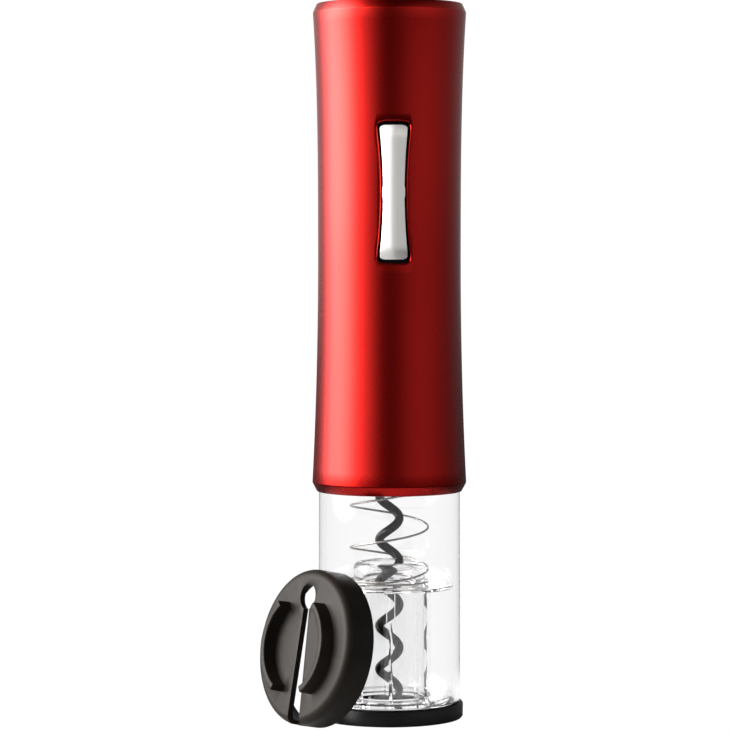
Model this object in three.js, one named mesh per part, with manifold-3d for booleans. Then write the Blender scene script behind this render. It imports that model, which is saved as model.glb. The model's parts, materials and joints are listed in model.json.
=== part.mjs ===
// Battery-powered wine opener standing on its base, with its foil cutter leaning against the clear tube.
// Millimetres, +Z up, the rocker switch faces -Y. The opener's own axis is X = Y = 0 until the last
// lines move the whole set over the middle of its footprint.
import * as THREE from "three";
import { mergeVertices } from "three/addons/utils/BufferGeometryUtils.js";
import Module from "manifold-3d";

const wasm = await Module();
wasm.setup();

// ---------------------------------------------------------------- driving dimensions

const GAP = 0.3; // clearance between pieces that touch on the real product
const ROUND = 36; // sides of a large turned piece
const SMALL_ROUND = 12; // sides of a pin, screw or bore

// Outer shell, an hourglass of revolution
const TOTAL_HEIGHT = 240;
const SHELL_FOOT_Z = 76.4;
const SHELL_WAIST_Z = TOTAL_HEIGHT - 83;
const SHELL_WAIST_R = 24;
const SHELL_TOP_SWELL = 1.9;
const SHELL_FOOT_SWELL = 2.1;
const SHELL_WALL = 1.6;
const SHELL_CHAMFER = 3;
const SHELL_TOP_EDGE_R = SHELL_WAIST_R + 0.4;
const SHELL_FOOT_LIP = 0.6;
const SHELL_LEDGE = 2.2; // thickness of the ledge that carries the battery cap

// Base ring, clear tube
const BASE_R = SHELL_WAIST_R + 0.95;
const BASE_HEIGHT = 5.3;
const BASE_CHAMFER = 0.6;
const BOTTLE_HOLE_R = 17.8;
const TUBE_FOOT_R = BASE_R - 1.05;
const TUBE_TAPER = 0.0063; // loss of radius per millimetre of height
const TUBE_WALL = 1.8;
const TUBE_IN_SHELL = 15.6;

// Cork sleeve that rides inside the tube
const SLEEVE_R = 14;
const SLEEVE_WALL = 1.1;
const SLEEVE_RIBS = 6;
const SLEEVE_RIB_IN_R = 10.8;
const SLEEVE_RIB_WIDTH = 1.4;
const SLEEVE_RIB_SINK = 0.5; // depth of each rib in the sleeve's wall
const SLEEVE_TOP_Z = 45;
const SLEEVE_TRAVEL = 24;
const SLEEVE_FLANGE = 1.8;
const SLEEVE_FOOT_R = 20.4;
const SLEEVE_COLLAR_R = 12.1;
const SLEEVE_COLLAR_WALL = 3;
const SLEEVE_COLLAR_HEIGHT = 7.7;
const SLEEVE_COLLAR_ROUND = 1.6;

// Return spring and worm
const SPRING_OUT_R = 13.3;
const SPRING_WIRE_R = 0.43;
const SPRING_FREE_TURNS = 2.05;
const SPRING_CLOSED_TURNS = 1.25;
const SPRING_PHASE = 177; // degrees round the axis at the lower end
const WORM_TIP_Z = 5;
const WORM_OUT_R = 4.85;
const WORM_WIRE_R = 1.5;
const WORM_PITCH = 14.6;
const WORM_HELIX_TOP_Z = 75;
const WORM_RUN_IN = 6; // height over which the helix closes on to the axis
const WORM_PHASE = -55; // degrees round the axis at the tip

// Inner frame, two moulded halves
const FRAME_FLOOR_Z = 77.5;
const FRAME_FLOOR = 2;
const FRAME_R = SHELL_WAIST_R - SHELL_WALL - 0.6;
const FRAME_WALL = 2;
const FRAME_TOP_Z = TOTAL_HEIGHT - 60;
const FRAME_FLOOR_HOLE_R = 9.5;
const FRAME_SPLIT = 0.15; // each half stops this far from the plane between them
const FRAME_SCREW_X = 15;
const FRAME_SCREW_R = 1;
const FRAME_BOSS_R = 2.1;
const FRAME_SCREW_FRONT_Y = -6.5;
const FRAME_SCREW_Z = [81.8, FRAME_TOP_Z - 15];
const FRAME_LEDGE = 1.7; // thickness of the ledge under the gearbox
const FRAME_RIB = 3; // height of each rib that centres the motor

// Two-stage planetary gearbox
const GEARBOX_Z = 86;
const MODULE = 0.8;
const SUN_TEETH = 12;
const PLANET_TEETH = 12;
const RING_TEETH = SUN_TEETH + 2 * PLANET_TEETH;
const PLANETS = 3;
const PRESSURE_ANGLE = THREE.MathUtils.degToRad(25);
const BACKLASH = 0.07; // taken off each flank at the pitch circle
const GEAR_HEIGHT = 5.4;
const RING_GEAR_WALL = 1.88;
const CARRIER_EDGE = 3; // from a planet's axis to the carrier's edge
const CARRIER_PLATE = 2;
const PLANET_PIN_R = 1;
const OUTPUT_SHAFT_R = 4;
const BUSH_WALL = 1.7;
const COLLAR_WALL = 2.3;
const GEARBOX_FLOOR = 3;

// Motor
const MOTOR_R = 13.8;
const MOTOR_LENGTH = 36.5;
const MOTOR_CAN_WALL = 0.8;
const MOTOR_SHAFT_R = 1.15;
const ARMATURE_R = 9.8;
const MAGNET_WALL = 2;
const MAGNET_SPAN = 1; // radians each way
const MOTOR_PLATE = 2;
const MOTOR_PLATE_HOLE_R = 3.4;
const COMMUTATOR_R = 3.4;
const MOTOR_CAP = 2.2;
const MOTOR_CAP_HUB_R = 4;
const MOTOR_CAP_HUB = 1.4;

// Rocker switch, moulding frame behind it, push switches and board
const ROCKER_Z = TOTAL_HEIGHT - 63.4;
const ROCKER_HALF_LENGTH = 22.1;
const ROCKER_END_HALF_WIDTH = 4.65;
const ROCKER_WAIST_HALF_WIDTH = 3.65;
const ROCKER_CORNER = 2.6;
const ROCKER_RIDGE_Y = -SHELL_WAIST_R - 1;
const ROCKER_EDGE_Y = -SHELL_WAIST_R - 0.1;
const ROCKER_BACK_Y = -SHELL_WAIST_R + 1.4;
const ROCKER_END_SLOPE = 0.32; // radians
const ROCKER_LUG_HALF_WIDTH = 2.6;
const ROCKER_LUG_HALF_HEIGHT = 1.5;
const RECESS_HALF_LENGTH = ROCKER_HALF_LENGTH + 1.75;
const RECESS_CORNER = 3.4;
const RECESS_END_HALF_WIDTH = 6.1;
const RECESS_WAIST_HALF_WIDTH = 4;
const ROCKER_PIVOT_Y = -SHELL_WAIST_R + 3.6;
const ROCKER_PIN_R = 0.6;
const ROCKER_PIN_HALF_LENGTH = 6.4;
const SWITCH_FRAME_FLOOR_Y = -SHELL_WAIST_R + 3.4;
const SWITCH_FRAME_BACK_Y = -SHELL_WAIST_R + 5.4;
const SWITCH_FRAME_HALF_WIDTH = 8.8;
const SWITCH_FRAME_HALF_LENGTH = RECESS_HALF_LENGTH + 2.25;
const SWITCH_ARM = 12; // distance of each push switch from the rocker's pivot
const PLUNGER_R = 1;
const SWITCH_SIDE = 6;
const SWITCH_DEPTH = 2.4;
const SWITCH_WALL = 0.6;
const BOARD_HALF_WIDTH = 6.5;
const BOARD_BOTTOM_Z = ROCKER_Z - 20.6;
const BOARD_TOP_Z = ROCKER_Z + 20.4;
const BOARD_THICKNESS = 1.2;

// Cells, their tray and contacts, and the battery cap
const CELL_R = 7.25;
const CELL_LENGTH = 49.5;
const CELL_NUB_R = 2.6;
const CELL_NUB = 1;
const CELL_SPACING = 2 * CELL_R + 0.3;
const CELLS_Y = 1.6; // the four cells sit a little behind the axis, clear of the board
const TRAY_R = FRAME_R - 1.2;
const TRAY_FLAT_Y = -TRAY_R + 6.5;
const TRAY_FLOOR = 2;
const TRAY_HEIGHT = 50;
const CONTACT = 0.4;
const CONTACT_HALF_WIDTH = 3;
const CONTACT_HOLDER_R = 15.5;
const CAP_R = SHELL_WAIST_R - 1.9;
const CAP_THICKNESS = 2.8;
const CAP_EDGE = 0.4;
const CAP_SKIRT = 2.8;
const CAP_SKIRT_WALL = 1.4;
const CAP_LEDGE = 1.5;

// Foil cutter, a shallow cap with a keyhole slot and two grip ridges
const CUTTER_R = 25.8;
const CUTTER_DEPTH = 10.5;
const CUTTER_PLATE = 2;
const CUTTER_WALL = 1.4;
const CUTTER_SHOULDER = 3.2;
const CUTTER_INNER_CORNER = 1.6;
const CUTTER_RIDGE_R = 17.4;
const CUTTER_RIDGE_WALL = 2.4;
const CUTTER_RIDGE_HEIGHT = 4.2;
const CUTTER_RIDGE_SPAN = THREE.MathUtils.degToRad(52);
const CUTTER_KEYHOLE_R = 4.3;
const CUTTER_KEYHOLE_FROM_CENTRE = 16.5;
const CUTTER_SLOT_NARROW = 1.4;
const CUTTER_SLOT_WIDE = 3.5;
const CUTTER_SLOT_DEPTH = 4.2;
const CUTTER_WHEEL_R = 4.8;
const CUTTER_WHEEL_THICKNESS = 0.7;
const CUTTER_WHEEL_EDGE = 1.2;
const CUTTER_WHEEL_CLEAR = 2.3; // from the rim's back edge to the wheels
const CUTTER_BOSS_R = 2.1;
const CUTTER_WHEEL_FROM_CENTRE = 19.1;
const CUTTER_WHEEL_ANGLE = 68; // degrees from the slot's line
const CUTTER_PIN_R = 0.8;
const CUTTER_PIN_HEAD_R = 1.7;
const CUTTER_PIN_HEAD = 0.7;
const CUTTER_PIN_SINK = 2; // depth of each pin in its boss
const CUTTER_BEARING = 50.3; // degrees from the rocker's side towards -X, from the opener to the cutter
const CUTTER_YAW = 57.6; // the same, for the way that its face looks
const CUTTER_LEAN = 11.3;
const CUTTER_ROLL = 4;

// ---------------------------------------------------------------- shapes and booleans

// A closed geometry as a solid that can be joined and cut
function solid(geometry) {
  const bare = geometry.clone();
  bare.deleteAttribute("normal");
  bare.deleteAttribute("uv");
  const merged = mergeVertices(bare, 1e-4);
  const mesh = new wasm.Mesh({
    numProp: 3,
    vertProperties: merged.attributes.position.array,
    triVerts: new Uint32Array(merged.index.array),
  });
  return new wasm.Manifold(mesh);
}

// A solid of revolution about Z. The profile of [radius, height] pairs runs anticlockwise: up the
// outside, then down the inside. It closes on itself unless it starts and ends on the axis.
function turned(profile, sides = ROUND) {
  const points = profile.map(([r, z]) => new THREE.Vector2(r, z));
  if (profile[0][0] > 0) points.push(points[0].clone());
  return solid(new THREE.LatheGeometry(points, sides).rotateX(Math.PI / 2));
}

function ring(inner, outer, bottom, top, sides = ROUND) {
  return turned([[inner, bottom], [outer, bottom], [outer, top], [inner, top]], sides);
}

function rod(radius, bottom, top, sides = SMALL_ROUND) {
  const geometry = new THREE.CylinderGeometry(radius, radius, top - bottom, sides);
  return solid(geometry.rotateX(Math.PI / 2).translate(0, 0, (bottom + top) / 2));
}

// A rod along Y whose axis passes through (x, z)
function rodAlongY(radius, front, back, x, z, sides = SMALL_ROUND) {
  const geometry = new THREE.CylinderGeometry(radius, radius, back - front, sides);
  return solid(geometry.translate(x, (front + back) / 2, z));
}

// A rod along X whose axis passes through (y, z)
function rodAlongX(radius, left, right, y, z, sides = SMALL_ROUND) {
  const geometry = new THREE.CylinderGeometry(radius, radius, right - left, sides);
  return solid(geometry.rotateZ(Math.PI / 2).translate((left + right) / 2, y, z));
}

function block([x0, y0, z0], [x1, y1, z1]) {
  const geometry = new THREE.BoxGeometry(x1 - x0, y1 - y0, z1 - z0);
  return solid(geometry.translate((x0 + x1) / 2, (y0 + y1) / 2, (z0 + z1) / 2));
}

function prism(shape, bottom, top, curveSegments = 12) {
  const options = { depth: top - bottom, bevelEnabled: false, curveSegments };
  return solid(new THREE.ExtrudeGeometry(shape, options).translate(0, 0, bottom));
}

// A shape drawn in X and Z, extruded from one Y to another
function prismAlongY(shape, front, back, curveSegments = 12) {
  const options = { depth: back - front, bevelEnabled: false, curveSegments };
  const geometry = new THREE.ExtrudeGeometry(shape, options);
  return solid(geometry.rotateX(Math.PI / 2).translate(0, back, 0));
}

// A round wire along a curve
function wire(curve, radius, steps, sides) {
  const section = new THREE.Shape();
  for (let i = 0; i < sides; i++) {
    const angle = (2 * Math.PI * i) / sides;
    const x = radius * Math.cos(angle);
    const y = radius * Math.sin(angle);
    if (i === 0) section.moveTo(x, y);
    else section.lineTo(x, y);
  }
  return solid(new THREE.ExtrudeGeometry(section, { steps, extrudePath: curve, bevelEnabled: false }));
}

const join = (first, ...rest) => rest.reduce((sum, next) => sum.add(next), first);
const cut = (from, ...tools) => tools.reduce((left, tool) => left.subtract(tool), from);

function polar(radius, degrees) {
  const angle = THREE.MathUtils.degToRad(degrees);
  return [radius * Math.cos(angle), radius * Math.sin(angle)];
}

// ---------------------------------------------------------------- materials and meshes

const finish = (color, roughness, metalness, more = {}) =>
  new THREE.MeshStandardMaterial({ color, roughness, metalness, ...more });

const redMetal = finish(0x9c0a10, 0.32, 0.75);
const satinSilver = finish(0xb9b9b9, 0.3, 0.9);
const blackPlastic = finish(0x16151a, 0.5, 0);
const cutterPlastic = finish(0x231f1d, 0.45, 0);
const clearPlastic = finish(0xe9edf0, 0.06, 0, { transparent: true, opacity: 0.3 });
const blackCoating = finish(0x141414, 0.38, 0.2);
const steel = finish(0xb4b4b2, 0.28, 1);
const frameMoulding = finish(0x2c2c30, 0.6, 0);
const gearNylon = finish(0xe4e0d2, 0.5, 0);
const gearSteel = finish(0x8d8d90, 0.4, 1);
const bronze = finish(0x9a7440, 0.4, 1);
const magnetFerrite = finish(0x3a3a3c, 0.8, 0.1);
const boardGreen = finish(0x1d5a36, 0.55, 0);
const cellSleeve = finish(0x2f3a48, 0.4, 0.2);

function part(name, shape, material, parent) {
  const { vertProperties, triVerts, numProp, numVert } = shape.getMesh();
  const positions = new Float32Array(numVert * 3);
  for (let i = 0; i < numVert; i++) {
    positions.set(vertProperties.subarray(i * numProp, i * numProp + 3), i * 3);
  }
  const geometry = new THREE.BufferGeometry();
  geometry.setAttribute("position", new THREE.BufferAttribute(positions, 3));
  geometry.setIndex(new THREE.BufferAttribute(triVerts, 1));
  geometry.computeVertexNormals();
  const mesh = new THREE.Mesh(geometry, material);
  mesh.name = name;
  parent.add(mesh);
  return mesh;
}

// ---------------------------------------------------------------- outer shell and battery cap

// Outer radius of the shell at a height
function shellRadius(z) {
  if (z > SHELL_WAIST_Z) {
    const share = (z - SHELL_WAIST_Z) / (TOTAL_HEIGHT - SHELL_WAIST_Z);
    return SHELL_WAIST_R + SHELL_TOP_SWELL * share ** 3;
  }
  const share = (SHELL_WAIST_Z - z) / (SHELL_WAIST_Z - SHELL_FOOT_Z);
  return SHELL_WAIST_R + SHELL_FOOT_SWELL * share ** 2.1;
}

const tubeRadius = (z) => TUBE_FOOT_R - TUBE_TAPER * (z - BASE_HEIGHT);
const tubeTopZ = SHELL_FOOT_Z + TUBE_IN_SHELL;
const capSeatZ = TOTAL_HEIGHT - CAP_THICKNESS - GAP;

function dogBone(endHalfWidth, waistHalfWidth, halfLength, corner) {
  const control = 2 * waistHalfWidth - endHalfWidth;
  const side = halfLength - corner;
  const shape = new THREE.Shape();
  shape.moveTo(endHalfWidth, ROCKER_Z - side);
  shape.quadraticCurveTo(control, ROCKER_Z, endHalfWidth, ROCKER_Z + side);
  shape.absarc(endHalfWidth - corner, ROCKER_Z + side, corner, 0, Math.PI / 2);
  shape.absarc(corner - endHalfWidth, ROCKER_Z + side, corner, Math.PI / 2, Math.PI);
  shape.quadraticCurveTo(-control, ROCKER_Z, -endHalfWidth, ROCKER_Z - side);
  shape.absarc(corner - endHalfWidth, ROCKER_Z - side, corner, Math.PI, 1.5 * Math.PI);
  shape.absarc(endHalfWidth - corner, ROCKER_Z - side, corner, 1.5 * Math.PI, 2 * Math.PI);
  return shape;
}

const recessOutline = dogBone(
  RECESS_END_HALF_WIDTH,
  RECESS_WAIST_HALF_WIDTH,
  RECESS_HALF_LENGTH,
  RECESS_CORNER,
);

function shell() {
  const levels = 8;
  const footLipR = tubeRadius(SHELL_FOOT_Z) + GAP;
  const lowest = SHELL_FOOT_Z + SHELL_CHAMFER;
  const highest = TOTAL_HEIGHT - SHELL_CHAMFER;
  const step = (highest - lowest) / levels;
  const heights = Array.from({ length: levels + 1 }, (_, i) => lowest + step * i);
  const outside = heights.map((z) => [shellRadius(z), z]);
  const neckR = CAP_R + GAP;
  const ledgeFoot = capSeatZ - SHELL_LEDGE;
  const inside = heights
    .filter((z) => z > tubeTopZ - 6 && z < ledgeFoot - SHELL_CHAMFER)
    .map((z) => [shellRadius(z) - SHELL_WALL, z])
    .reverse();
  return cut(
    turned([
      [footLipR, SHELL_FOOT_Z],
      [footLipR + SHELL_FOOT_LIP, SHELL_FOOT_Z],
      ...outside,
      [SHELL_TOP_EDGE_R, TOTAL_HEIGHT],
      [neckR, TOTAL_HEIGHT],
      [neckR, capSeatZ],
      [neckR - CAP_LEDGE, capSeatZ],
      [neckR - CAP_LEDGE, ledgeFoot],
      [shellRadius(ledgeFoot) - SHELL_WALL, ledgeFoot - 2],
      ...inside,
      [footLipR, SHELL_FOOT_Z + SHELL_CHAMFER + 1],
    ]),
    prismAlongY(recessOutline, -SHELL_WAIST_R - 4, -SHELL_WAIST_R + 6, 8),
  );
}

// A disc with a skirt inside the shell's neck and a boss that presses the upper contacts on the cells
function batteryCap() {
  const skirtR = CAP_R - CAP_LEDGE - GAP;
  const underside = capSeatZ + GAP;
  const holderFoot = upperContactZ + CONTACT + GAP;
  return turned([
    [0, holderFoot],
    [CONTACT_HOLDER_R, holderFoot],
    [CONTACT_HOLDER_R, underside],
    [skirtR - CAP_SKIRT_WALL, underside],
    [skirtR - CAP_SKIRT_WALL, underside - CAP_SKIRT],
    [skirtR, underside - CAP_SKIRT],
    [skirtR, underside],
    [CAP_R, underside],
    [CAP_R, TOTAL_HEIGHT - CAP_EDGE],
    [CAP_R - CAP_EDGE, TOTAL_HEIGHT],
    [0, TOTAL_HEIGHT],
  ]);
}

// ---------------------------------------------------------------- base ring, tube and cork sleeve

function baseRing() {
  return turned([
    [BOTTLE_HOLE_R + BASE_CHAMFER, 0],
    [BASE_R - BASE_CHAMFER, 0],
    [BASE_R, BASE_CHAMFER],
    [BASE_R, BASE_HEIGHT - BASE_CHAMFER],
    [BASE_R - BASE_CHAMFER, BASE_HEIGHT],
    [BOTTLE_HOLE_R, BASE_HEIGHT],
    [BOTTLE_HOLE_R, BASE_CHAMFER],
  ]);
}

function clearTube() {
  const foot = BASE_HEIGHT + GAP;
  return turned([
    [tubeRadius(foot) - TUBE_WALL, foot],
    [tubeRadius(foot), foot],
    [tubeRadius(tubeTopZ), tubeTopZ],
    [tubeRadius(tubeTopZ) - TUBE_WALL, tubeTopZ],
  ]);
}

const sleeveFootZ = BASE_HEIGHT + GAP;
const collarTopZ = SLEEVE_TOP_Z + SLEEVE_COLLAR_HEIGHT;

// A ribbed tube with a foot flange that stops on the base ring, a guide flange that carries the
// spring and, inside the spring, a thick collar with a rounded top
function corkSleeve() {
  const bore = SLEEVE_R - SLEEVE_WALL;
  const guideR = tubeRadius(SLEEVE_TOP_Z + SLEEVE_TRAVEL) - TUBE_WALL - GAP;
  const flangeFoot = SLEEVE_TOP_Z - SLEEVE_FLANGE;
  const collarBore = SLEEVE_COLLAR_R - SLEEVE_COLLAR_WALL;
  const body = turned([
    [bore, sleeveFootZ],
    [SLEEVE_FOOT_R, sleeveFootZ],
    [SLEEVE_FOOT_R, sleeveFootZ + SLEEVE_FLANGE],
    [SLEEVE_R, sleeveFootZ + SLEEVE_FLANGE],
    [SLEEVE_R, flangeFoot],
    [guideR, flangeFoot],
    [guideR, SLEEVE_TOP_Z],
    [SLEEVE_COLLAR_R, SLEEVE_TOP_Z],
    [SLEEVE_COLLAR_R, collarTopZ - SLEEVE_COLLAR_ROUND],
    [SLEEVE_COLLAR_R - SLEEVE_COLLAR_ROUND, collarTopZ],
    [collarBore, collarTopZ],
    [collarBore, flangeFoot],
    [bore, flangeFoot],
  ]);
  const ribs = Array.from({ length: SLEEVE_RIBS }, (_, i) => {
    const ribOutR = bore + SLEEVE_RIB_SINK;
    const height = flangeFoot - sleeveFootZ;
    const rib = new THREE.BoxGeometry(ribOutR - SLEEVE_RIB_IN_R, SLEEVE_RIB_WIDTH, height);
    rib.translate((ribOutR + SLEEVE_RIB_IN_R) / 2, 0, sleeveFootZ + height / 2 + SLEEVE_RIB_SINK / 2);
    return solid(rib.rotateZ((2 * Math.PI * (i + 0.5)) / SLEEVE_RIBS));
  });
  return join(body, ...ribs);
}

// ---------------------------------------------------------------- spring and worm

const springSeatZ = SLEEVE_TOP_Z + GAP;
const springTopZ = FRAME_FLOOR_Z - GAP;

// The centre line of a coil spring with closed turns at both ends
class SpringLine extends THREE.Curve {
  getPoint(t) {
    const turns = SPRING_FREE_TURNS + 2 * SPRING_CLOSED_TURNS;
    const turn = t * turns;
    const closedRise = SPRING_CLOSED_TURNS * SPRING_WIRE_R * 2.4;
    const low = springSeatZ + SPRING_WIRE_R;
    const high = springTopZ - SPRING_WIRE_R;
    const radius = SPRING_OUT_R - SPRING_WIRE_R;
    const angle = THREE.MathUtils.degToRad(SPRING_PHASE) + 2 * Math.PI * turn;
    let z = low + (closedRise * turn) / SPRING_CLOSED_TURNS;
    if (turn > SPRING_CLOSED_TURNS) {
      const free = Math.min((turn - SPRING_CLOSED_TURNS) / SPRING_FREE_TURNS, 1);
      z = low + closedRise + free * (high - low - 2 * closedRise);
    }
    if (turn > SPRING_CLOSED_TURNS + SPRING_FREE_TURNS) {
      z = high - (closedRise * (turns - turn)) / SPRING_CLOSED_TURNS;
    }
    return new THREE.Vector3(radius * Math.cos(angle), radius * Math.sin(angle), z);
  }
}

const shankBottomZ = WORM_HELIX_TOP_Z + WORM_RUN_IN;
const shankTopZ = GEARBOX_Z + GEARBOX_FLOOR - 0.6;

// The centre line of a right-handed worm that runs in to a straight shank on the axis
class WormLine extends THREE.Curve {
  getPoint(t) {
    const low = WORM_TIP_Z + WORM_WIRE_R;
    const z = low + t * (shankTopZ - low);
    const fade = THREE.MathUtils.smoothstep(z, WORM_HELIX_TOP_Z, shankBottomZ);
    const radius = (WORM_OUT_R - WORM_WIRE_R) * (1 - fade);
    const angle = THREE.MathUtils.degToRad(WORM_PHASE) + (2 * Math.PI * (z - low)) / WORM_PITCH;
    return new THREE.Vector3(radius * Math.cos(angle), radius * Math.sin(angle), z);
  }
}

// ---------------------------------------------------------------- gears

const pitchRadius = (teeth) => (MODULE * teeth) / 2;
const ADDENDUM = 0.9 * MODULE;
const DEDENDUM = 1.15 * MODULE;
const planetOrbitR = pitchRadius(SUN_TEETH) + pitchRadius(PLANET_TEETH);
const gearboxR = pitchRadius(RING_TEETH) + DEDENDUM + RING_GEAR_WALL;
const carrierR = planetOrbitR + CARRIER_EDGE;

// Half the angle that an involute tooth takes at a radius
function toothHalfAngle(teeth, radius, thinning) {
  const involute = (angle) => Math.tan(angle) - angle;
  const baseR = pitchRadius(teeth) * Math.cos(PRESSURE_ANGLE);
  const angle = Math.acos(Math.min(1, baseR / radius));
  return Math.PI / (2 * teeth) - thinning / pitchRadius(teeth) + involute(PRESSURE_ANGLE) - involute(angle);
}

// The outline of a gear, or of the toothed hole of a ring gear, as points round the axis
function gearPoints(teeth, radii, thinning, phase) {
  const points = [];
  for (let tooth = 0; tooth < teeth; tooth++) {
    const centre = phase + (2 * Math.PI * tooth) / teeth;
    const flank = (radius, side) => {
      const angle = centre + side * toothHalfAngle(teeth, radius, thinning);
      points.push(new THREE.Vector2(radius * Math.cos(angle), radius * Math.sin(angle)));
    };
    radii.forEach((radius) => flank(radius, -1));
    [...radii].reverse().forEach((radius) => flank(radius, 1));
  }
  return points;
}

function gear(teeth, boreR, bottom, top, phase = 0) {
  const radius = pitchRadius(teeth);
  const radii = [radius - DEDENDUM, radius + ADDENDUM];
  const shape = new THREE.Shape(gearPoints(teeth, radii, BACKLASH, phase));
  if (boreR > 0) shape.holes.push(new THREE.Path().absarc(0, 0, boreR, 0, 2 * Math.PI, true));
  return prism(shape, bottom, top, 5);
}

function ringGear(bottom, top) {
  const radius = pitchRadius(RING_TEETH);
  const shape = new THREE.Shape().absarc(0, 0, gearboxR, 0, 2 * Math.PI);
  const phase = Math.PI / RING_TEETH;
  const teeth = gearPoints(RING_TEETH, [radius - ADDENDUM, radius + DEDENDUM], -BACKLASH, phase);
  shape.holes.push(new THREE.Path(teeth.reverse()));
  return prism(shape, bottom, top, ROUND / 2);
}

// ---------------------------------------------------------------- gearbox heights

const frontPlateTopZ = GEARBOX_Z + GEARBOX_FLOOR + CARRIER_PLATE + GAP;
const outputPlateZ = GEARBOX_Z + GEARBOX_FLOOR + GAP;
const lowerStageZ = outputPlateZ + CARRIER_PLATE + GAP;
const upperPlateZ = lowerStageZ + GEAR_HEIGHT + 2 * GAP;
const upperStageZ = upperPlateZ + CARRIER_PLATE + GAP;
const motorPlateZ = upperStageZ + GEAR_HEIGHT + 3 * GAP;
const motorFootZ = motorPlateZ + MOTOR_PLATE + GAP;
const motorTopZ = motorFootZ + MOTOR_LENGTH;

function gearboxFrontPlate() {
  const bushHole = OUTPUT_SHAFT_R + BUSH_WALL + 2 * GAP;
  const carrierRoomR = carrierR + 2 * GAP;
  return turned([
    [bushHole, GEARBOX_Z],
    [gearboxR, GEARBOX_Z],
    [gearboxR, frontPlateTopZ],
    [carrierRoomR, frontPlateTopZ],
    [carrierRoomR, GEARBOX_Z + GEARBOX_FLOOR],
    [bushHole, GEARBOX_Z + GEARBOX_FLOOR],
  ]);
}

function outputBush() {
  const inner = OUTPUT_SHAFT_R + GAP;
  return ring(inner, inner + BUSH_WALL, GEARBOX_Z, GEARBOX_Z + GEARBOX_FLOOR, 32);
}

// A carrier plate with a pin for each planet, standing up from the plate
function carrier(plateZ, stageZ) {
  let shape = rod(carrierR, plateZ, plateZ + CARRIER_PLATE, 36);
  for (let i = 0; i < PLANETS; i++) {
    const [x, y] = polar(planetOrbitR, (360 / PLANETS) * i);
    const pin = rod(PLANET_PIN_R, stageZ - 2 * GAP, stageZ + GEAR_HEIGHT);
    shape = join(shape, pin.translate(x, y, 0));
  }
  return shape;
}

function outputCarrier() {
  const shaftFoot = shankBottomZ + 2 * GAP;
  const shaft = rod(OUTPUT_SHAFT_R, shaftFoot, outputPlateZ + 0.5, 24);
  const bore = rod(WORM_WIRE_R + GAP, shaftFoot - 1, shankTopZ + GAP);
  return cut(join(carrier(outputPlateZ, lowerStageZ), shaft), bore);
}

function chuckCollar() {
  const inner = OUTPUT_SHAFT_R + GAP;
  return ring(inner, inner + COLLAR_WALL, shankBottomZ + 3 * GAP, GEARBOX_Z - 2 * GAP, 24);
}

function motorPlate() {
  return ring(MOTOR_PLATE_HOLE_R, gearboxR, motorPlateZ, motorPlateZ + MOTOR_PLATE);
}

// ---------------------------------------------------------------- motor

function motorCan() {
  const wallR = MOTOR_R - MOTOR_CAN_WALL;
  return turned([
    [MOTOR_SHAFT_R + 0.5, motorFootZ],
    [MOTOR_R, motorFootZ],
    [MOTOR_R, motorTopZ],
    [wallR, motorTopZ],
    [wallR, motorFootZ + MOTOR_CAN_WALL],
    [MOTOR_SHAFT_R + 0.5, motorFootZ + MOTOR_CAN_WALL],
  ]);
}

function motorMagnet(side) {
  const outer = MOTOR_R - MOTOR_CAN_WALL - GAP;
  const shape = new THREE.Shape();
  const middle = side > 0 ? 0 : Math.PI;
  shape.absarc(0, 0, outer, middle - MAGNET_SPAN, middle + MAGNET_SPAN);
  shape.absarc(0, 0, outer - MAGNET_WALL, middle + MAGNET_SPAN, middle - MAGNET_SPAN, true);
  return prism(shape, motorFootZ + 6, motorTopZ - 6, 8);
}

function motorRotor() {
  const armatureTop = motorTopZ - 9;
  const shaft = rod(MOTOR_SHAFT_R, upperStageZ, motorTopZ + MOTOR_CAP + 1);
  const armature = rod(ARMATURE_R, motorFootZ + 7, armatureTop, 24);
  const commutator = rod(COMMUTATOR_R, armatureTop - 1, motorTopZ - 2, 20);
  return join(shaft, armature, commutator);
}

function motorCap() {
  const z = motorTopZ + GAP;
  const bore = MOTOR_SHAFT_R + 0.5;
  const edge = MOTOR_R - GAP;
  const top = z + MOTOR_CAP;
  const hubTop = top + MOTOR_CAP_HUB;
  return turned([
    [bore, z],
    [edge, z],
    [edge, top],
    [MOTOR_CAP_HUB_R, top],
    [MOTOR_CAP_HUB_R, hubTop],
    [bore, hubTop],
  ], 28);
}

// ---------------------------------------------------------------- inner frame

// How far each screw boss reaches from the plane between the halves
const frameBossY = Math.sqrt((FRAME_R - FRAME_WALL - 1) ** 2 - FRAME_SCREW_X ** 2) + 1;

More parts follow.
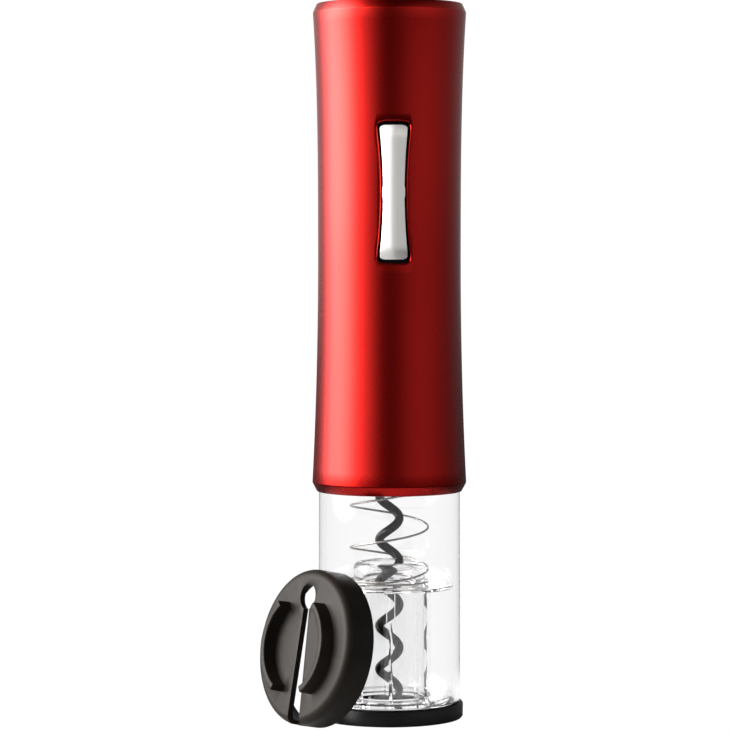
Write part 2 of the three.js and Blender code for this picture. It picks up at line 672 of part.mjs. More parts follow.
// One half of the moulded frame. The lower end slips into the clear tube, ledges hold the gearbox and
// the motor, and the front half is open behind the rocker.
function frameHalf(side) {
  const inTubeR = tubeRadius(tubeTopZ) - TUBE_WALL - GAP;
  const wideZ = tubeTopZ + GAP;
  const innerR = FRAME_R - FRAME_WALL;
  const floorTop = FRAME_FLOOR_Z + FRAME_FLOOR;
  const ledgeTop = GEARBOX_Z - GAP;
  const motorRib = (top) => [
    [innerR, top],
    [MOTOR_R + GAP, top],
    [MOTOR_R + GAP, top - FRAME_RIB],
    [innerR, top - FRAME_RIB],
  ];
  const upright = turned([
    [FRAME_FLOOR_HOLE_R, FRAME_FLOOR_Z],
    [inTubeR, FRAME_FLOOR_Z],
    [inTubeR, wideZ],
    [FRAME_R, wideZ],
    [FRAME_R, FRAME_TOP_Z],
    [innerR, FRAME_TOP_Z],
    ...motorRib(motorTopZ - 3),
    ...motorRib(motorFootZ + 11),
    [innerR, motorPlateZ + MOTOR_PLATE],
    [gearboxR + GAP, motorPlateZ + MOTOR_PLATE],
    [gearboxR + GAP, ledgeTop],
    [FRAME_FLOOR_HOLE_R, ledgeTop],
    [FRAME_FLOOR_HOLE_R, ledgeTop - FRAME_LEDGE],
    [innerR - 1, ledgeTop - FRAME_LEDGE],
    [innerR - 1, floorTop],
    [FRAME_FLOOR_HOLE_R, floorTop],
  ], 28);
  const far = 2 * FRAME_R;
  const near = FRAME_SPLIT;
  const otherHalf =
    side > 0
      ? block([-far, -far, 0], [far, near, TOTAL_HEIGHT])
      : block([-far, -near, 0], [far, far, TOTAL_HEIGHT]);
  let half = cut(upright, otherHalf);
  for (const z of FRAME_SCREW_Z) {
    for (const x of [-FRAME_SCREW_X, FRAME_SCREW_X]) {
      const [front, back] = side > 0 ? [near, frameBossY] : [-frameBossY, -near];
      half = join(half, rodAlongY(FRAME_BOSS_R, front, back, x, z));
      const [start, end] = side > 0 ? [-near, far] : [FRAME_SCREW_FRONT_Y - 1, near];
      half = cut(half, rodAlongY(FRAME_SCREW_R + GAP, start, end, x, z, 10));
    }
  }
  if (side > 0) return half;
  const window = SWITCH_FRAME_HALF_WIDTH + GAP;
  const windowZ = ROCKER_Z - SWITCH_FRAME_HALF_LENGTH - GAP;
  return cut(half, block([-window, -far, windowZ], [window, -innerR + 4, TOTAL_HEIGHT]));
}

// A frame screw goes in from the back, sunk in the rear half's boss
function frameScrew(x, z) {
  return rodAlongY(FRAME_SCREW_R, FRAME_SCREW_FRONT_Y, frameBossY - 1, x, z, 10);
}

// ---------------------------------------------------------------- rocker and switches

// The rocker has a shallow ridge along its middle, sloped ends, a pivot lug and two nubs behind
function rocker() {
  const outline = dogBone(
    ROCKER_END_HALF_WIDTH,
    ROCKER_WAIST_HALF_WIDTH,
    ROCKER_HALF_LENGTH,
    ROCKER_CORNER,
  );
  const plate = prismAlongY(outline, ROCKER_RIDGE_Y, ROCKER_BACK_Y, 8);
  const roofHalfWidth = 2 * ROCKER_END_HALF_WIDTH;
  const roofEdgeY = ROCKER_EDGE_Y + (ROCKER_EDGE_Y - ROCKER_RIDGE_Y);
  const roof = new THREE.Shape([
    new THREE.Vector2(-roofHalfWidth, roofEdgeY),
    new THREE.Vector2(0, ROCKER_RIDGE_Y),
    new THREE.Vector2(roofHalfWidth, roofEdgeY),
    new THREE.Vector2(roofHalfWidth, ROCKER_BACK_Y + 1),
    new THREE.Vector2(-roofHalfWidth, ROCKER_BACK_Y + 1),
  ]);
  const reach = 1.5 * ROCKER_HALF_LENGTH;
  const underRoof = prism(roof, ROCKER_Z - reach, ROCKER_Z + reach);
  const slopes = [-1, 1].map((end) => {
    const slope = new THREE.BoxGeometry(20, 6, 12).rotateX(end * ROCKER_END_SLOPE);
    const z = ROCKER_Z + end * (ROCKER_HALF_LENGTH + 1.2);
    return solid(slope.translate(0, ROCKER_RIDGE_Y - 2.65, z));
  });
  const lug = block(
    [-ROCKER_LUG_HALF_WIDTH, ROCKER_BACK_Y - 0.5, ROCKER_Z - ROCKER_LUG_HALF_HEIGHT],
    [ROCKER_LUG_HALF_WIDTH, ROCKER_PIVOT_Y + 1.3, ROCKER_Z + ROCKER_LUG_HALF_HEIGHT],
  );
  const nubEndY = SWITCH_FRAME_FLOOR_Y - GAP;
  const nubs = [-1, 1].map((end) =>
    rodAlongY(PLUNGER_R, ROCKER_BACK_Y - 0.5, nubEndY, 0, ROCKER_Z + end * SWITCH_ARM),
  );
  const holeReach = 2 * ROCKER_LUG_HALF_WIDTH;
  const pinHole = rodAlongX(ROCKER_PIN_R + GAP, -holeReach, holeReach, ROCKER_PIVOT_Y, ROCKER_Z);
  return cut(join(cut(plate.intersect(underRoof), ...slopes), lug, ...nubs), pinHole);
}

// The black moulding that closes the recess behind the rocker and holds its pin
function switchFrame() {
  const front = -SHELL_WAIST_R + SHELL_WALL + GAP;
  const blank = block(
    [-SWITCH_FRAME_HALF_WIDTH, front - 0.1, ROCKER_Z - SWITCH_FRAME_HALF_LENGTH],
    [SWITCH_FRAME_HALF_WIDTH, SWITCH_FRAME_BACK_Y, ROCKER_Z + SWITCH_FRAME_HALF_LENGTH],
  ).intersect(rod(-front, 0, TOTAL_HEIGHT, 48));
  const pocket = prismAlongY(recessOutline, front - 2, SWITCH_FRAME_FLOOR_Y, 8);
  const holeHalfWidth = ROCKER_LUG_HALF_WIDTH + GAP;
  const holeHalfHeight = ROCKER_LUG_HALF_HEIGHT + 3 * GAP;
  const lugHole = block(
    [-holeHalfWidth, front, ROCKER_Z - holeHalfHeight],
    [holeHalfWidth, SWITCH_FRAME_BACK_Y + 1, ROCKER_Z + holeHalfHeight],
  );
  const pinReach = ROCKER_PIN_HALF_LENGTH + GAP;
  const pinHole = rodAlongX(ROCKER_PIN_R + GAP, -pinReach, pinReach, ROCKER_PIVOT_Y, ROCKER_Z);
  const plungerHoles = [-1, 1].map((end) => {
    const z = ROCKER_Z + end * SWITCH_ARM;
    return rodAlongY(PLUNGER_R + GAP, front, SWITCH_FRAME_BACK_Y + 1, 0, z);
  });
  return cut(blank, pocket, lugHole, pinHole, ...plungerHoles);
}

const switchFrontY = SWITCH_FRAME_BACK_Y + GAP;
const switchBackY = switchFrontY + SWITCH_DEPTH;
const boardFrontY = switchBackY + GAP;

function switchBody(z) {
  const half = SWITCH_SIDE / 2;
  const body = block([-half, switchFrontY, z - half], [half, switchBackY, z + half]);
  return cut(body, rodAlongY(PLUNGER_R + GAP, switchFrontY - 1, switchBackY - SWITCH_WALL, 0, z));
}

function switchPlunger(z) {
  return rodAlongY(PLUNGER_R, SWITCH_FRAME_FLOOR_Y, switchFrontY + 0.4, 0, z);
}

function circuitBoard() {
  return block(
    [-BOARD_HALF_WIDTH, boardFrontY, BOARD_BOTTOM_Z],
    [BOARD_HALF_WIDTH, boardFrontY + BOARD_THICKNESS, BOARD_TOP_Z],
  );
}

// ---------------------------------------------------------------- cells, tray and contacts

const trayFootZ = FRAME_TOP_Z + GAP;
const lowerContactZ = trayFootZ + TRAY_FLOOR + GAP;
const cellFootZ = lowerContactZ + CONTACT + GAP;
const upperContactZ = cellFootZ + CELL_LENGTH + CELL_NUB + GAP;
const cellPlaces = [[-1, -1], [1, -1], [1, 1], [-1, 1]].map(([x, y]) => [
  (x * CELL_SPACING) / 2,
  CELLS_Y + (y * CELL_SPACING) / 2,
]);

function cell(upright) {
  const top = CELL_LENGTH + CELL_NUB;
  const profile = [
    [0, 0],
    [CELL_R, 0],
    [CELL_R, CELL_LENGTH],
    [CELL_NUB_R, CELL_LENGTH],
    [CELL_NUB_R, top],
    [0, top],
  ];
  if (upright) return turned(profile, 20);
  return turned(profile.map(([r, z]) => [r, top - z]).reverse(), 20);
}

// A thin plate that joins two neighbouring cells, or serves one of them
function contactPlate(places, z, spare = 0) {
  const xs = places.map(([x]) => x);
  const ys = places.map(([, y]) => y);
  const margin = CONTACT_HALF_WIDTH + spare;
  return block(
    [Math.min(...xs) - margin, Math.min(...ys) - margin, z - spare],
    [Math.max(...xs) + margin, Math.max(...ys) + margin, z + CONTACT + 2 * spare],
  );
}

function batteryTray() {
  const flat = block([-TRAY_R - 1, -TRAY_R - 1, 0], [TRAY_R + 1, TRAY_FLAT_Y, TOTAL_HEIGHT]);
  const boreFoot = trayFootZ + TRAY_FLOOR;
  const bores = cellPlaces.map(([x, y]) =>
    rod(CELL_R + GAP, boreFoot, boreFoot + TRAY_HEIGHT, 24).translate(x, y, 0),
  );
  const bridgeNotch = contactPlate([cellPlaces[1], cellPlaces[2]], lowerContactZ, GAP);
  const blank = rod(TRAY_R, trayFootZ, trayFootZ + TRAY_HEIGHT, ROUND);
  return cut(blank, flat, ...bores, bridgeNotch);
}

// ---------------------------------------------------------------- foil cutter, face up at the origin

// Wheels sit in pairs beside each end of the slot
const wheelPlaces = [-90, 90].flatMap((end) =>
  [-1, 1].map((side) => polar(CUTTER_WHEEL_FROM_CENTRE, end + side * CUTTER_WHEEL_ANGLE)),
);
const wheelTopZ = -CUTTER_DEPTH + CUTTER_WHEEL_CLEAR;
const bossFootZ = wheelTopZ + GAP;

function cutterBody() {
  const shoulderSteps = 4;
  const shoulder = Array.from({ length: shoulderSteps + 1 }, (_, i) => {
    const angle = (Math.PI / 2) * (i / shoulderSteps);
    const inset = CUTTER_SHOULDER * (1 - Math.cos(angle));
    return [CUTTER_R - inset, -CUTTER_SHOULDER + CUTTER_SHOULDER * Math.sin(angle)];
  });
  const inR = CUTTER_R - CUTTER_WALL;
  const cup = turned([
    [0, -CUTTER_PLATE],
    [inR - CUTTER_INNER_CORNER, -CUTTER_PLATE],
    [inR, -CUTTER_PLATE - CUTTER_INNER_CORNER],
    [inR, -CUTTER_DEPTH],
    [CUTTER_R, -CUTTER_DEPTH],
    ...shoulder,
    [0, 0],
  ]);
  const ridges = [0, Math.PI].map((middle) => {
    const ridge = new THREE.Shape();
    const inner = CUTTER_RIDGE_R - CUTTER_RIDGE_WALL;
    ridge.absarc(0, 0, CUTTER_RIDGE_R, middle - CUTTER_RIDGE_SPAN, middle + CUTTER_RIDGE_SPAN);
    ridge.absarc(0, 0, inner, middle + CUTTER_RIDGE_SPAN, middle - CUTTER_RIDGE_SPAN, true);
    return prism(ridge, -0.5, CUTTER_RIDGE_HEIGHT, 12);
  });
  const bosses = wheelPlaces.map(([x, y]) =>
    rod(CUTTER_BOSS_R, bossFootZ, -CUTTER_PLATE + 0.5).translate(x, y, 0),
  );
  const pinHoles = wheelPlaces.map(([x, y]) =>
    rod(CUTTER_PIN_R + GAP, bossFootZ - 1, bossFootZ + CUTTER_PIN_SINK + GAP, 10).translate(x, y, 0),
  );
  const slot = new THREE.Shape([
    new THREE.Vector2(-CUTTER_SLOT_NARROW, CUTTER_KEYHOLE_FROM_CENTRE),
    new THREE.Vector2(-CUTTER_SLOT_WIDE, -CUTTER_R - 1),
    new THREE.Vector2(CUTTER_SLOT_WIDE, -CUTTER_R - 1),
    new THREE.Vector2(CUTTER_SLOT_NARROW, CUTTER_KEYHOLE_FROM_CENTRE),
  ]);
  const keyhole = new THREE.Shape();
  keyhole.absarc(0, CUTTER_KEYHOLE_FROM_CENTRE, CUTTER_KEYHOLE_R, 0, 2 * Math.PI);
  return cut(
    join(cup, ...ridges, ...bosses),
    ...pinHoles,
    prism(slot, -CUTTER_SLOT_DEPTH, 1),
    prism(keyhole, -CUTTER_SLOT_DEPTH, 1, 10),
  );
}

function cutterWheel() {
  const hub = CUTTER_PIN_R + GAP;
  const half = CUTTER_WHEEL_THICKNESS / 2;
  const middle = wheelTopZ - half;
  return turned(
    [
      [hub, middle - half],
      [CUTTER_WHEEL_R - CUTTER_WHEEL_EDGE, middle - half],
      [CUTTER_WHEEL_R, middle],
      [CUTTER_WHEEL_R - CUTTER_WHEEL_EDGE, middle + half],
      [hub, middle + half],
    ],
    20,
  );
}

function cutterPin() {
  const headTop = wheelTopZ - CUTTER_WHEEL_THICKNESS - GAP;
  return turned(
    [
      [0, headTop - CUTTER_PIN_HEAD],
      [CUTTER_PIN_HEAD_R, headTop - CUTTER_PIN_HEAD],
      [CUTTER_PIN_HEAD_R, headTop],
      [CUTTER_PIN_R, headTop],
      [CUTTER_PIN_R, bossFootZ + CUTTER_PIN_SINK],
      [0, bossFootZ + CUTTER_PIN_SINK],
    ],
    12,
  );
}

// ---------------------------------------------------------------- assembly

const set = new THREE.Group();
const opener = new THREE.Group();
const foilCutter = new THREE.Group();
set.add(opener, foilCutter);

part("shell", shell(), redMetal, opener);
part("battery_cap", batteryCap(), redMetal, opener);
part("base_ring", baseRing(), blackPlastic, opener);
part("clear_tube", clearTube(), clearPlastic, opener);
part("cork_sleeve", corkSleeve(), clearPlastic, opener);
const springSteps = Math.round(16 * (SPRING_FREE_TURNS + 2 * SPRING_CLOSED_TURNS));
part("return_spring", wire(new SpringLine(), SPRING_WIRE_R, springSteps, 6), steel, opener);
part("worm", wire(new WormLine(), WORM_WIRE_R, 76, 6), blackCoating, opener);

part("gearbox_front_plate", gearboxFrontPlate(), blackPlastic, opener);
part("output_bush", outputBush(), bronze, opener);
part("output_carrier", outputCarrier(), gearSteel, opener);
part("chuck_collar", chuckCollar(), steel, opener);
part("ring_gear", ringGear(frontPlateTopZ + GAP, motorPlateZ - GAP), gearNylon, opener);
part("first_carrier", carrier(upperPlateZ, upperStageZ), gearSteel, opener);
part("second_sun", gear(SUN_TEETH, 0, lowerStageZ, upperPlateZ - GAP), gearSteel, opener);
const pinion = gear(SUN_TEETH, MOTOR_SHAFT_R + GAP, upperStageZ + GAP, motorPlateZ - 2 * GAP);
part("motor_pinion", pinion, bronze, opener);
for (const [stage, z] of [["lower", lowerStageZ], ["upper", upperStageZ]]) {
  for (let i = 0; i < PLANETS; i++) {
    const phase = Math.PI / PLANET_TEETH;
    const shape = gear(PLANET_TEETH, PLANET_PIN_R + GAP, 0, GEAR_HEIGHT, phase);
    const planet = part(`${stage}_planet_${i + 1}`, shape, gearNylon, opener);
    planet.position.set(...polar(planetOrbitR, (360 / PLANETS) * i), z);
  }
}
part("motor_plate", motorPlate(), steel, opener);
part("motor_can", motorCan(), steel, opener);
part("motor_magnet_left", motorMagnet(-1), magnetFerrite, opener);
part("motor_magnet_right", motorMagnet(1), magnetFerrite, opener);
part("motor_rotor", motorRotor(), gearSteel, opener);
part("motor_cap", motorCap(), blackPlastic, opener);

part("frame_front", frameHalf(-1), frameMoulding, opener);
part("frame_rear", frameHalf(1), frameMoulding, opener);
FRAME_SCREW_Z.forEach((z, level) => {
  [-FRAME_SCREW_X, FRAME_SCREW_X].forEach((x, side) => {
    part(`frame_screw_${2 * level + side + 1}`, frameScrew(x, z), steel, opener);
  });
});

part("rocker_button", rocker(), satinSilver, opener);
const pinEnd = ROCKER_PIN_HALF_LENGTH;
part("rocker_pin", rodAlongX(ROCKER_PIN_R, -pinEnd, pinEnd, ROCKER_PIVOT_Y, ROCKER_Z), steel, opener);
part("switch_frame", switchFrame(), blackPlastic, opener);
part("circuit_board", circuitBoard(), boardGreen, opener);
for (const [place, end] of [["lower", -1], ["upper", 1]]) {
  const z = ROCKER_Z + end * SWITCH_ARM;
  part(`switch_${place}`, switchBody(z), blackPlastic, opener);
  part(`plunger_${place}`, switchPlunger(z), satinSilver, opener);
}

part("battery_tray", batteryTray(), frameMoulding, opener);
cellPlaces.forEach(([x, y], i) => {
  const mesh = part(`cell_${i + 1}`, cell(i % 2 === 0), cellSleeve, opener);
  mesh.position.set(x, y, cellFootZ);
});
part("contact_lower_start", contactPlate([cellPlaces[0]], lowerContactZ), steel, opener);
part("contact_lower_bridge", contactPlate([cellPlaces[1], cellPlaces[2]], lowerContactZ), steel, opener);
part("contact_lower_end", contactPlate([cellPlaces[3]], lowerContactZ), steel, opener);
part("contact_upper_front", contactPlate([cellPlaces[0], cellPlaces[1]], upperContactZ), steel, opener);
part("contact_upper_rear", contactPlate([cellPlaces[2], cellPlaces[3]], upperContactZ), steel, opener);

part("cutter_body", cutterBody(), cutterPlastic, foilCutter);
wheelPlaces.forEach(([x, y], i) => {
  part(`cutter_wheel_${i + 1}`, cutterWheel(), steel, foilCutter).position.set(x, y, 0);
  part(`cutter_pin_${i + 1}`, cutterPin(), steel, foilCutter).position.set(x, y, 0);
});

// The cutter's face looks out along its own +Z. It is turned, leant back and rolled, then set on the ground.
const lean = THREE.MathUtils.degToRad(CUTTER_LEAN);
const yaw = THREE.MathUtils.degToRad(CUTTER_YAW);
const level = Math.cos(lean);
const faceOut = new THREE.Vector3(-Math.sin(yaw) * level, -Math.cos(yaw) * level, Math.sin(lean));
const across = new THREE.Vector3(0, 0, 1).cross(faceOut).normalize();
const upFace = faceOut.clone().cross(across);
foilCutter.quaternion.setFromRotationMatrix(new THREE.Matrix4().makeBasis(across, upFace, faceOut));
foilCutter.rotateZ(THREE.MathUtils.degToRad(CUTTER_ROLL));
foilCutter.updateMatrixWorld(true);
foilCutter.position.z = -new THREE.Box3().setFromObject(foilCutter, true).min.z;

// It stands as close to the opener as the back edge of its rim allows: each point of that edge, moved
// out along the bearing, has to clear the tube or the base ring.
const bearing = THREE.MathUtils.degToRad(CUTTER_BEARING);
const outward = new THREE.Vector2(-Math.sin(bearing), -Math.cos(bearing));
const rimSteps = 90;
let cutterDistance = 0;
for (let i = 0; i < rimSteps; i++) {
  const [x, y] = polar(CUTTER_R, (360 / rimSteps) * i);
  const edge = new THREE.Vector3(x, y, -CUTTER_DEPTH).applyQuaternion(foilCutter.quaternion);
  const height = edge.z + foilCutter.position.z;
  const keepOut = (height < BASE_HEIGHT + GAP ? BASE_R : tubeRadius(height)) + GAP;
  const along = edge.x * outward.x + edge.y * outward.y;
  const beside = edge.x * outward.y - edge.y * outward.x;
  if (Math.abs(beside) < keepOut) {
    cutterDistance = Math.max(cutterDistance, Math.sqrt(keepOut ** 2 - beside ** 2) - along);
  }
}
foilCutter.position.x = cutterDistance * outward.x;
foilCutter.position.y = cutterDistance * outward.y;

// The whole set stands over the middle of its own footprint.
set.updateMatrixWorld(true);
const middle = new THREE.Box3().setFromObject(set, true).getCenter(new THREE.Vector3());
set.position.set(-middle.x, -middle.y, 0);
const model = new THREE.Group();
model.add(set);

export default model;
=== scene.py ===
import json
from math import atan2, cos, degrees, pi, radians, sin, sqrt

import bmesh
import bpy
from mathutils import Matrix, Vector


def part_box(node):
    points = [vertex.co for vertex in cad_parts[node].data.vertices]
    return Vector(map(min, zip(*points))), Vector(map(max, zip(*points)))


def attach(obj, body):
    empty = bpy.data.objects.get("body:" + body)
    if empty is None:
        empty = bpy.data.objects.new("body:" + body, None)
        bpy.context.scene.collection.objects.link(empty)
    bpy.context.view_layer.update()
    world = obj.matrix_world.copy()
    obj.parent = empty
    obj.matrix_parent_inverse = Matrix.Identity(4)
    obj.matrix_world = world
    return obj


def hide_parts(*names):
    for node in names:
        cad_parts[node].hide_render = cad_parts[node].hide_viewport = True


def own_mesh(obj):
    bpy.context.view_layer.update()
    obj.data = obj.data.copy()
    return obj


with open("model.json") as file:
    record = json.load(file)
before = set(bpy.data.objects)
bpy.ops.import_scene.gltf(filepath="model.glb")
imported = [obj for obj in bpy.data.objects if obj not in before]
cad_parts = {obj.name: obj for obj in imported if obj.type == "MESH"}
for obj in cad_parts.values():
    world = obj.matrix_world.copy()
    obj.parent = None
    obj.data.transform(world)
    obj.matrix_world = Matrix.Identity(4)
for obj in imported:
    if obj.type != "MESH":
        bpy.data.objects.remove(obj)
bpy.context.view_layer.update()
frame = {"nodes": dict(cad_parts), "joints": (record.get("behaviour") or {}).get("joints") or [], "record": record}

# ------------------------------------------------------------------ studio
# The set stands on a pale table in front of a white sweep. One broad softbox hangs at the left and a
# weak reflector stands at the right, with black flags between them and black card on the table.

scene = bpy.context.scene
shell_low, shell_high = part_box("shell")
axis_x = (shell_low.x + shell_high.x) / 2
axis_y = (shell_low.y + shell_high.y) / 2
CAMERA_BACK = (-0.0614, -1.0212)  # from the opener's axis to the camera
CAMERA_HEIGHT = 0.160
CAMERA_BEARING = radians(-93.44)  # where the camera stands, round the axis from +X
VIEW_BEARING = radians(3.0)  # the camera looks this far to the right of +Y
VIEW_DROP = radians(2.32)

camera = bpy.data.objects.new("camera", bpy.data.cameras.new("camera"))
scene.collection.objects.link(camera)
camera.location = (axis_x + CAMERA_BACK[0], axis_y + CAMERA_BACK[1], CAMERA_HEIGHT)
camera.rotation_euler = (radians(90) - VIEW_DROP, 0, -VIEW_BEARING)
camera.data.lens = 149.5
camera.data.sensor_width = 36
camera.data.clip_start = 0.05
scene.camera = camera
scene.view_settings.view_transform = "Standard"
scene.cycles.max_bounces = 32
scene.cycles.transmission_bounces = 32
scene.cycles.glossy_bounces = 8
scene.cycles.transparent_max_bounces = 16

SOFTBOX_BEARING = CAMERA_BEARING + radians(-82)
SOFTBOX_DISTANCE = 0.75
SOFTBOX_HEIGHT = 0.22
SOFTBOX_AIM = Vector((axis_x, axis_y, 0.13))
softbox = bpy.data.lights.new("left_softbox", "AREA")
softbox.shape = "RECTANGLE"
softbox.size = 0.75
softbox.size_y = 1.1
softbox.energy = 2.0
softbox.color = (1.0, 0.985, 0.97)
left_softbox = bpy.data.objects.new("left_softbox", softbox)
left_softbox.location = (
    axis_x + SOFTBOX_DISTANCE * cos(SOFTBOX_BEARING),
    axis_y + SOFTBOX_DISTANCE * sin(SOFTBOX_BEARING),
    SOFTBOX_HEIGHT,
)
aim = SOFTBOX_AIM - left_softbox.location
left_softbox.rotation_euler = aim.to_track_quat("-Z", "Y").to_euler()
scene.collection.objects.link(left_softbox)

# How bright the studio is in each direction round the opener, as (degrees to the right of the
# camera, radiance): the broad softbox, the black flag at the camera and the weak reflector.
STUDIO_RING = (
    (-180, 0.5), (-150, 0.5), (-136, 0.8), (-122, 3.0), (-108, 13), (-95, 29), (-82, 36),
    (-70, 30), (-61, 18), (-52, 9.0), (-43, 4.2), (-34, 3.3), (-26, 1.7), (-18, 0.8),
    (-10, 0.24), (0, 0.21), (14, 0.42), (31, 0.92), (48, 1.2), (66, 1.05), (87, 0.72),
    (104, 0.5), (150, 0.3), (180, 0.5),
)
RING_PEAK = 36.0
# and how it falls off with height, as (degrees up, share)
STUDIO_HEIGHTS = ((-90, 1.0), (25, 1.0), (38, 0.55), (50, 0.06), (90, 0.04))
# the white sweep behind the set, round from straight behind, which is all that the clear plastic
# bends into view
SWEEP_STOPS = ((0, 1), (16, 1), (32, 0), (328, 0), (344, 1), (360, 1))
SWEEP_WHITE = 1.02


def ramp(tree, stops, low, high, peak):
    """A grey ramp through (place, value) stops, each value as a share of the peak."""
    node = tree.nodes.new("ShaderNodeValToRGB")
    node.color_ramp.interpolation = "LINEAR"
    elements = node.color_ramp.elements
    for place, value in stops[1:-1]:
        elements.new((place - low) / (high - low))
    for element, (place, value) in zip(elements, stops):
        element.position = (place - low) / (high - low)
        share = value / peak
        element.color = (share, share, share, 1)
    return node


def calculate(tree, operation, first=None, second=None, third=None):
    """A Math node with its numbers set or its inputs linked; gives its output."""
    node = tree.nodes.new("ShaderNodeMath")
    node.operation = operation
    for socket, value in zip(node.inputs, (first, second, third)):
        if value is None:
            continue
        if isinstance(value, (int, float)):
            socket.default_value = value
        else:
            tree.links.new(value, socket)
    return node.outputs[0]


world = bpy.data.worlds.new("studio_air")
scene.world = world
world.use_nodes = True
tree = world.node_tree
nodes, links = tree.nodes, tree.links
nodes.clear()
direction = nodes.new("ShaderNodeTexCoord")
parts = nodes.new("ShaderNodeSeparateXYZ")
links.new(direction.outputs["Generated"], parts.inputs[0])
turn = calculate(tree, "ARCTAN2", parts.outputs["Y"], parts.outputs["X"])
turn = calculate(tree, "ADD", turn, -CAMERA_BEARING)
turn = calculate(tree, "WRAP", turn, pi, -pi)
turn = calculate(tree, "MULTIPLY_ADD", turn, 1 / (2 * pi), 0.5)
rise = calculate(tree, "ARCSINE", parts.outputs["Z"])
rise = calculate(tree, "MULTIPLY_ADD", rise, 1 / pi, 0.5)
ring = ramp(tree, STUDIO_RING, -180, 180, RING_PEAK)
links.new(turn, ring.inputs[0])
height = ramp(tree, STUDIO_HEIGHTS, -90, 90, 1.0)
links.new(rise, height.inputs[0])
strength = calculate(tree, "MULTIPLY", ring.outputs[0], height.outputs[0])
strength = calculate(tree, "MULTIPLY", strength, RING_PEAK)
studio = nodes.new("ShaderNodeBackground")
studio.inputs["Color"].default_value = (1, 1, 1, 1)
links.new(strength, studio.inputs["Strength"])
backdrop = nodes.new("ShaderNodeBackground")
backdrop.inputs["Color"].default_value = (1, 1, 1, 1)
backdrop.inputs["Strength"].default_value = SWEEP_WHITE
path = nodes.new("ShaderNodeLightPath")
sweep = ramp(tree, SWEEP_STOPS, 0, 360, 1)
links.new(turn, sweep.inputs[0])
behind = calculate(tree, "MULTIPLY", path.outputs["Is Transmission Ray"], sweep.outputs[0])
seen = calculate(tree, "MAXIMUM", path.outputs["Is Camera Ray"], behind)
choose = nodes.new("ShaderNodeMixShader")
sky = nodes.new("ShaderNodeOutputWorld")
links.new(seen, choose.inputs[0])
links.new(studio.outputs[0], choose.inputs[1])
links.new(backdrop.outputs[0], choose.inputs[2])
links.new(choose.outputs[0], sky.inputs[0])

TABLE_SIZE = 12
# the top is white under the set, and black card lies on it farther out: (metres out, shade)
TABLE_SHADES = ((0, 0.55), (0.09, 0.55), (0.15, 0.04), (1, 0.03))
bpy.ops.object.select_all(action="DESELECT")
bpy.ops.mesh.primitive_plane_add(size=TABLE_SIZE, location=(0, 0, 0))
table = bpy.context.object
table.name = "table"
table_paint = bpy.data.materials.new("pale_table")
table_paint.use_nodes = True
tree = table_paint.node_tree
nodes, links = tree.nodes, tree.links
nodes.clear()
lit = nodes.new("ShaderNodeEmission")
lit.inputs["Strength"].default_value = SWEEP_WHITE
paint = nodes.new("ShaderNodeBsdfDiffuse")
place = nodes.new("ShaderNodeTexCoord")
reach = nodes.new("ShaderNodeVectorMath")
reach.operation = "LENGTH"
links.new(place.outputs["Object"], reach.inputs[0])
card = ramp(tree, TABLE_SHADES, 0, 1, 1)
links.new(reach.outputs["Value"], card.inputs[0])
links.new(card.outputs[0], paint.inputs["Color"])
path = nodes.new("ShaderNodeLightPath")
seen = calculate(
    tree, "MAXIMUM", path.outputs["Is Camera Ray"], path.outputs["Is Transmission Ray"]
)
choose = nodes.new("ShaderNodeMixShader")
out = nodes.new("ShaderNodeOutputMaterial")
links.new(seen, choose.inputs[0])
links.new(paint.outputs[0], choose.inputs[1])
links.new(lit.outputs[0], choose.inputs[2])
links.new(choose.outputs[0], out.inputs[0])
table.data.materials.append(table_paint)

# ------------------------------------------------------------------ outer shell
# The waisted body is one hydroformed aluminium tube, sprayed in satin metallic red under a thin
# lacquer. Its ends are turned in, and the recess for the rocker is pressed into its front.

SHELL_FOOT = shell_low.z
SHELL_TOP = shell_high.z
SHELL_WAIST = SHELL_TOP - 0.083
WAIST_R = 0.024
TOP_FLARE = 0.0019
FOOT_FLARE = 0.0021


def settle(obj, name):
    """Ends the making of a piece: its name, and its place moved into its mesh."""
    bpy.ops.object.mode_set(mode="OBJECT")
    bpy.ops.object.select_all(action="DESELECT")
    obj.select_set(True)
    bpy.context.view_layer.objects.active = obj
    bpy.ops.object.transform_apply(location=True, rotation=True, scale=True)
    obj.name = name
    obj.data.name = name
    return obj


def pick(obj, kind, test):
    """In edit mode, selects the vertices, edges or faces whose middle passes the test."""
    mesh = bmesh.from_edit_mesh(obj.data)
    bpy.ops.mesh.select_mode(type=kind)
    bpy.ops.mesh.select_all(action="DESELECT")
    for item in {"VERT": mesh.verts, "EDGE": mesh.edges, "FACE": mesh.faces}[kind]:
        if kind == "VERT":
            middle = item.co
        elif kind == "EDGE":
            middle = (item.verts[0].co + item.verts[1].co) / 2
        else:
            middle = item.calc_center_median()
        if test(middle):
            item.select_set(True)
    mesh.select_flush_mode()
    bmesh.update_edit_mesh(obj.data)


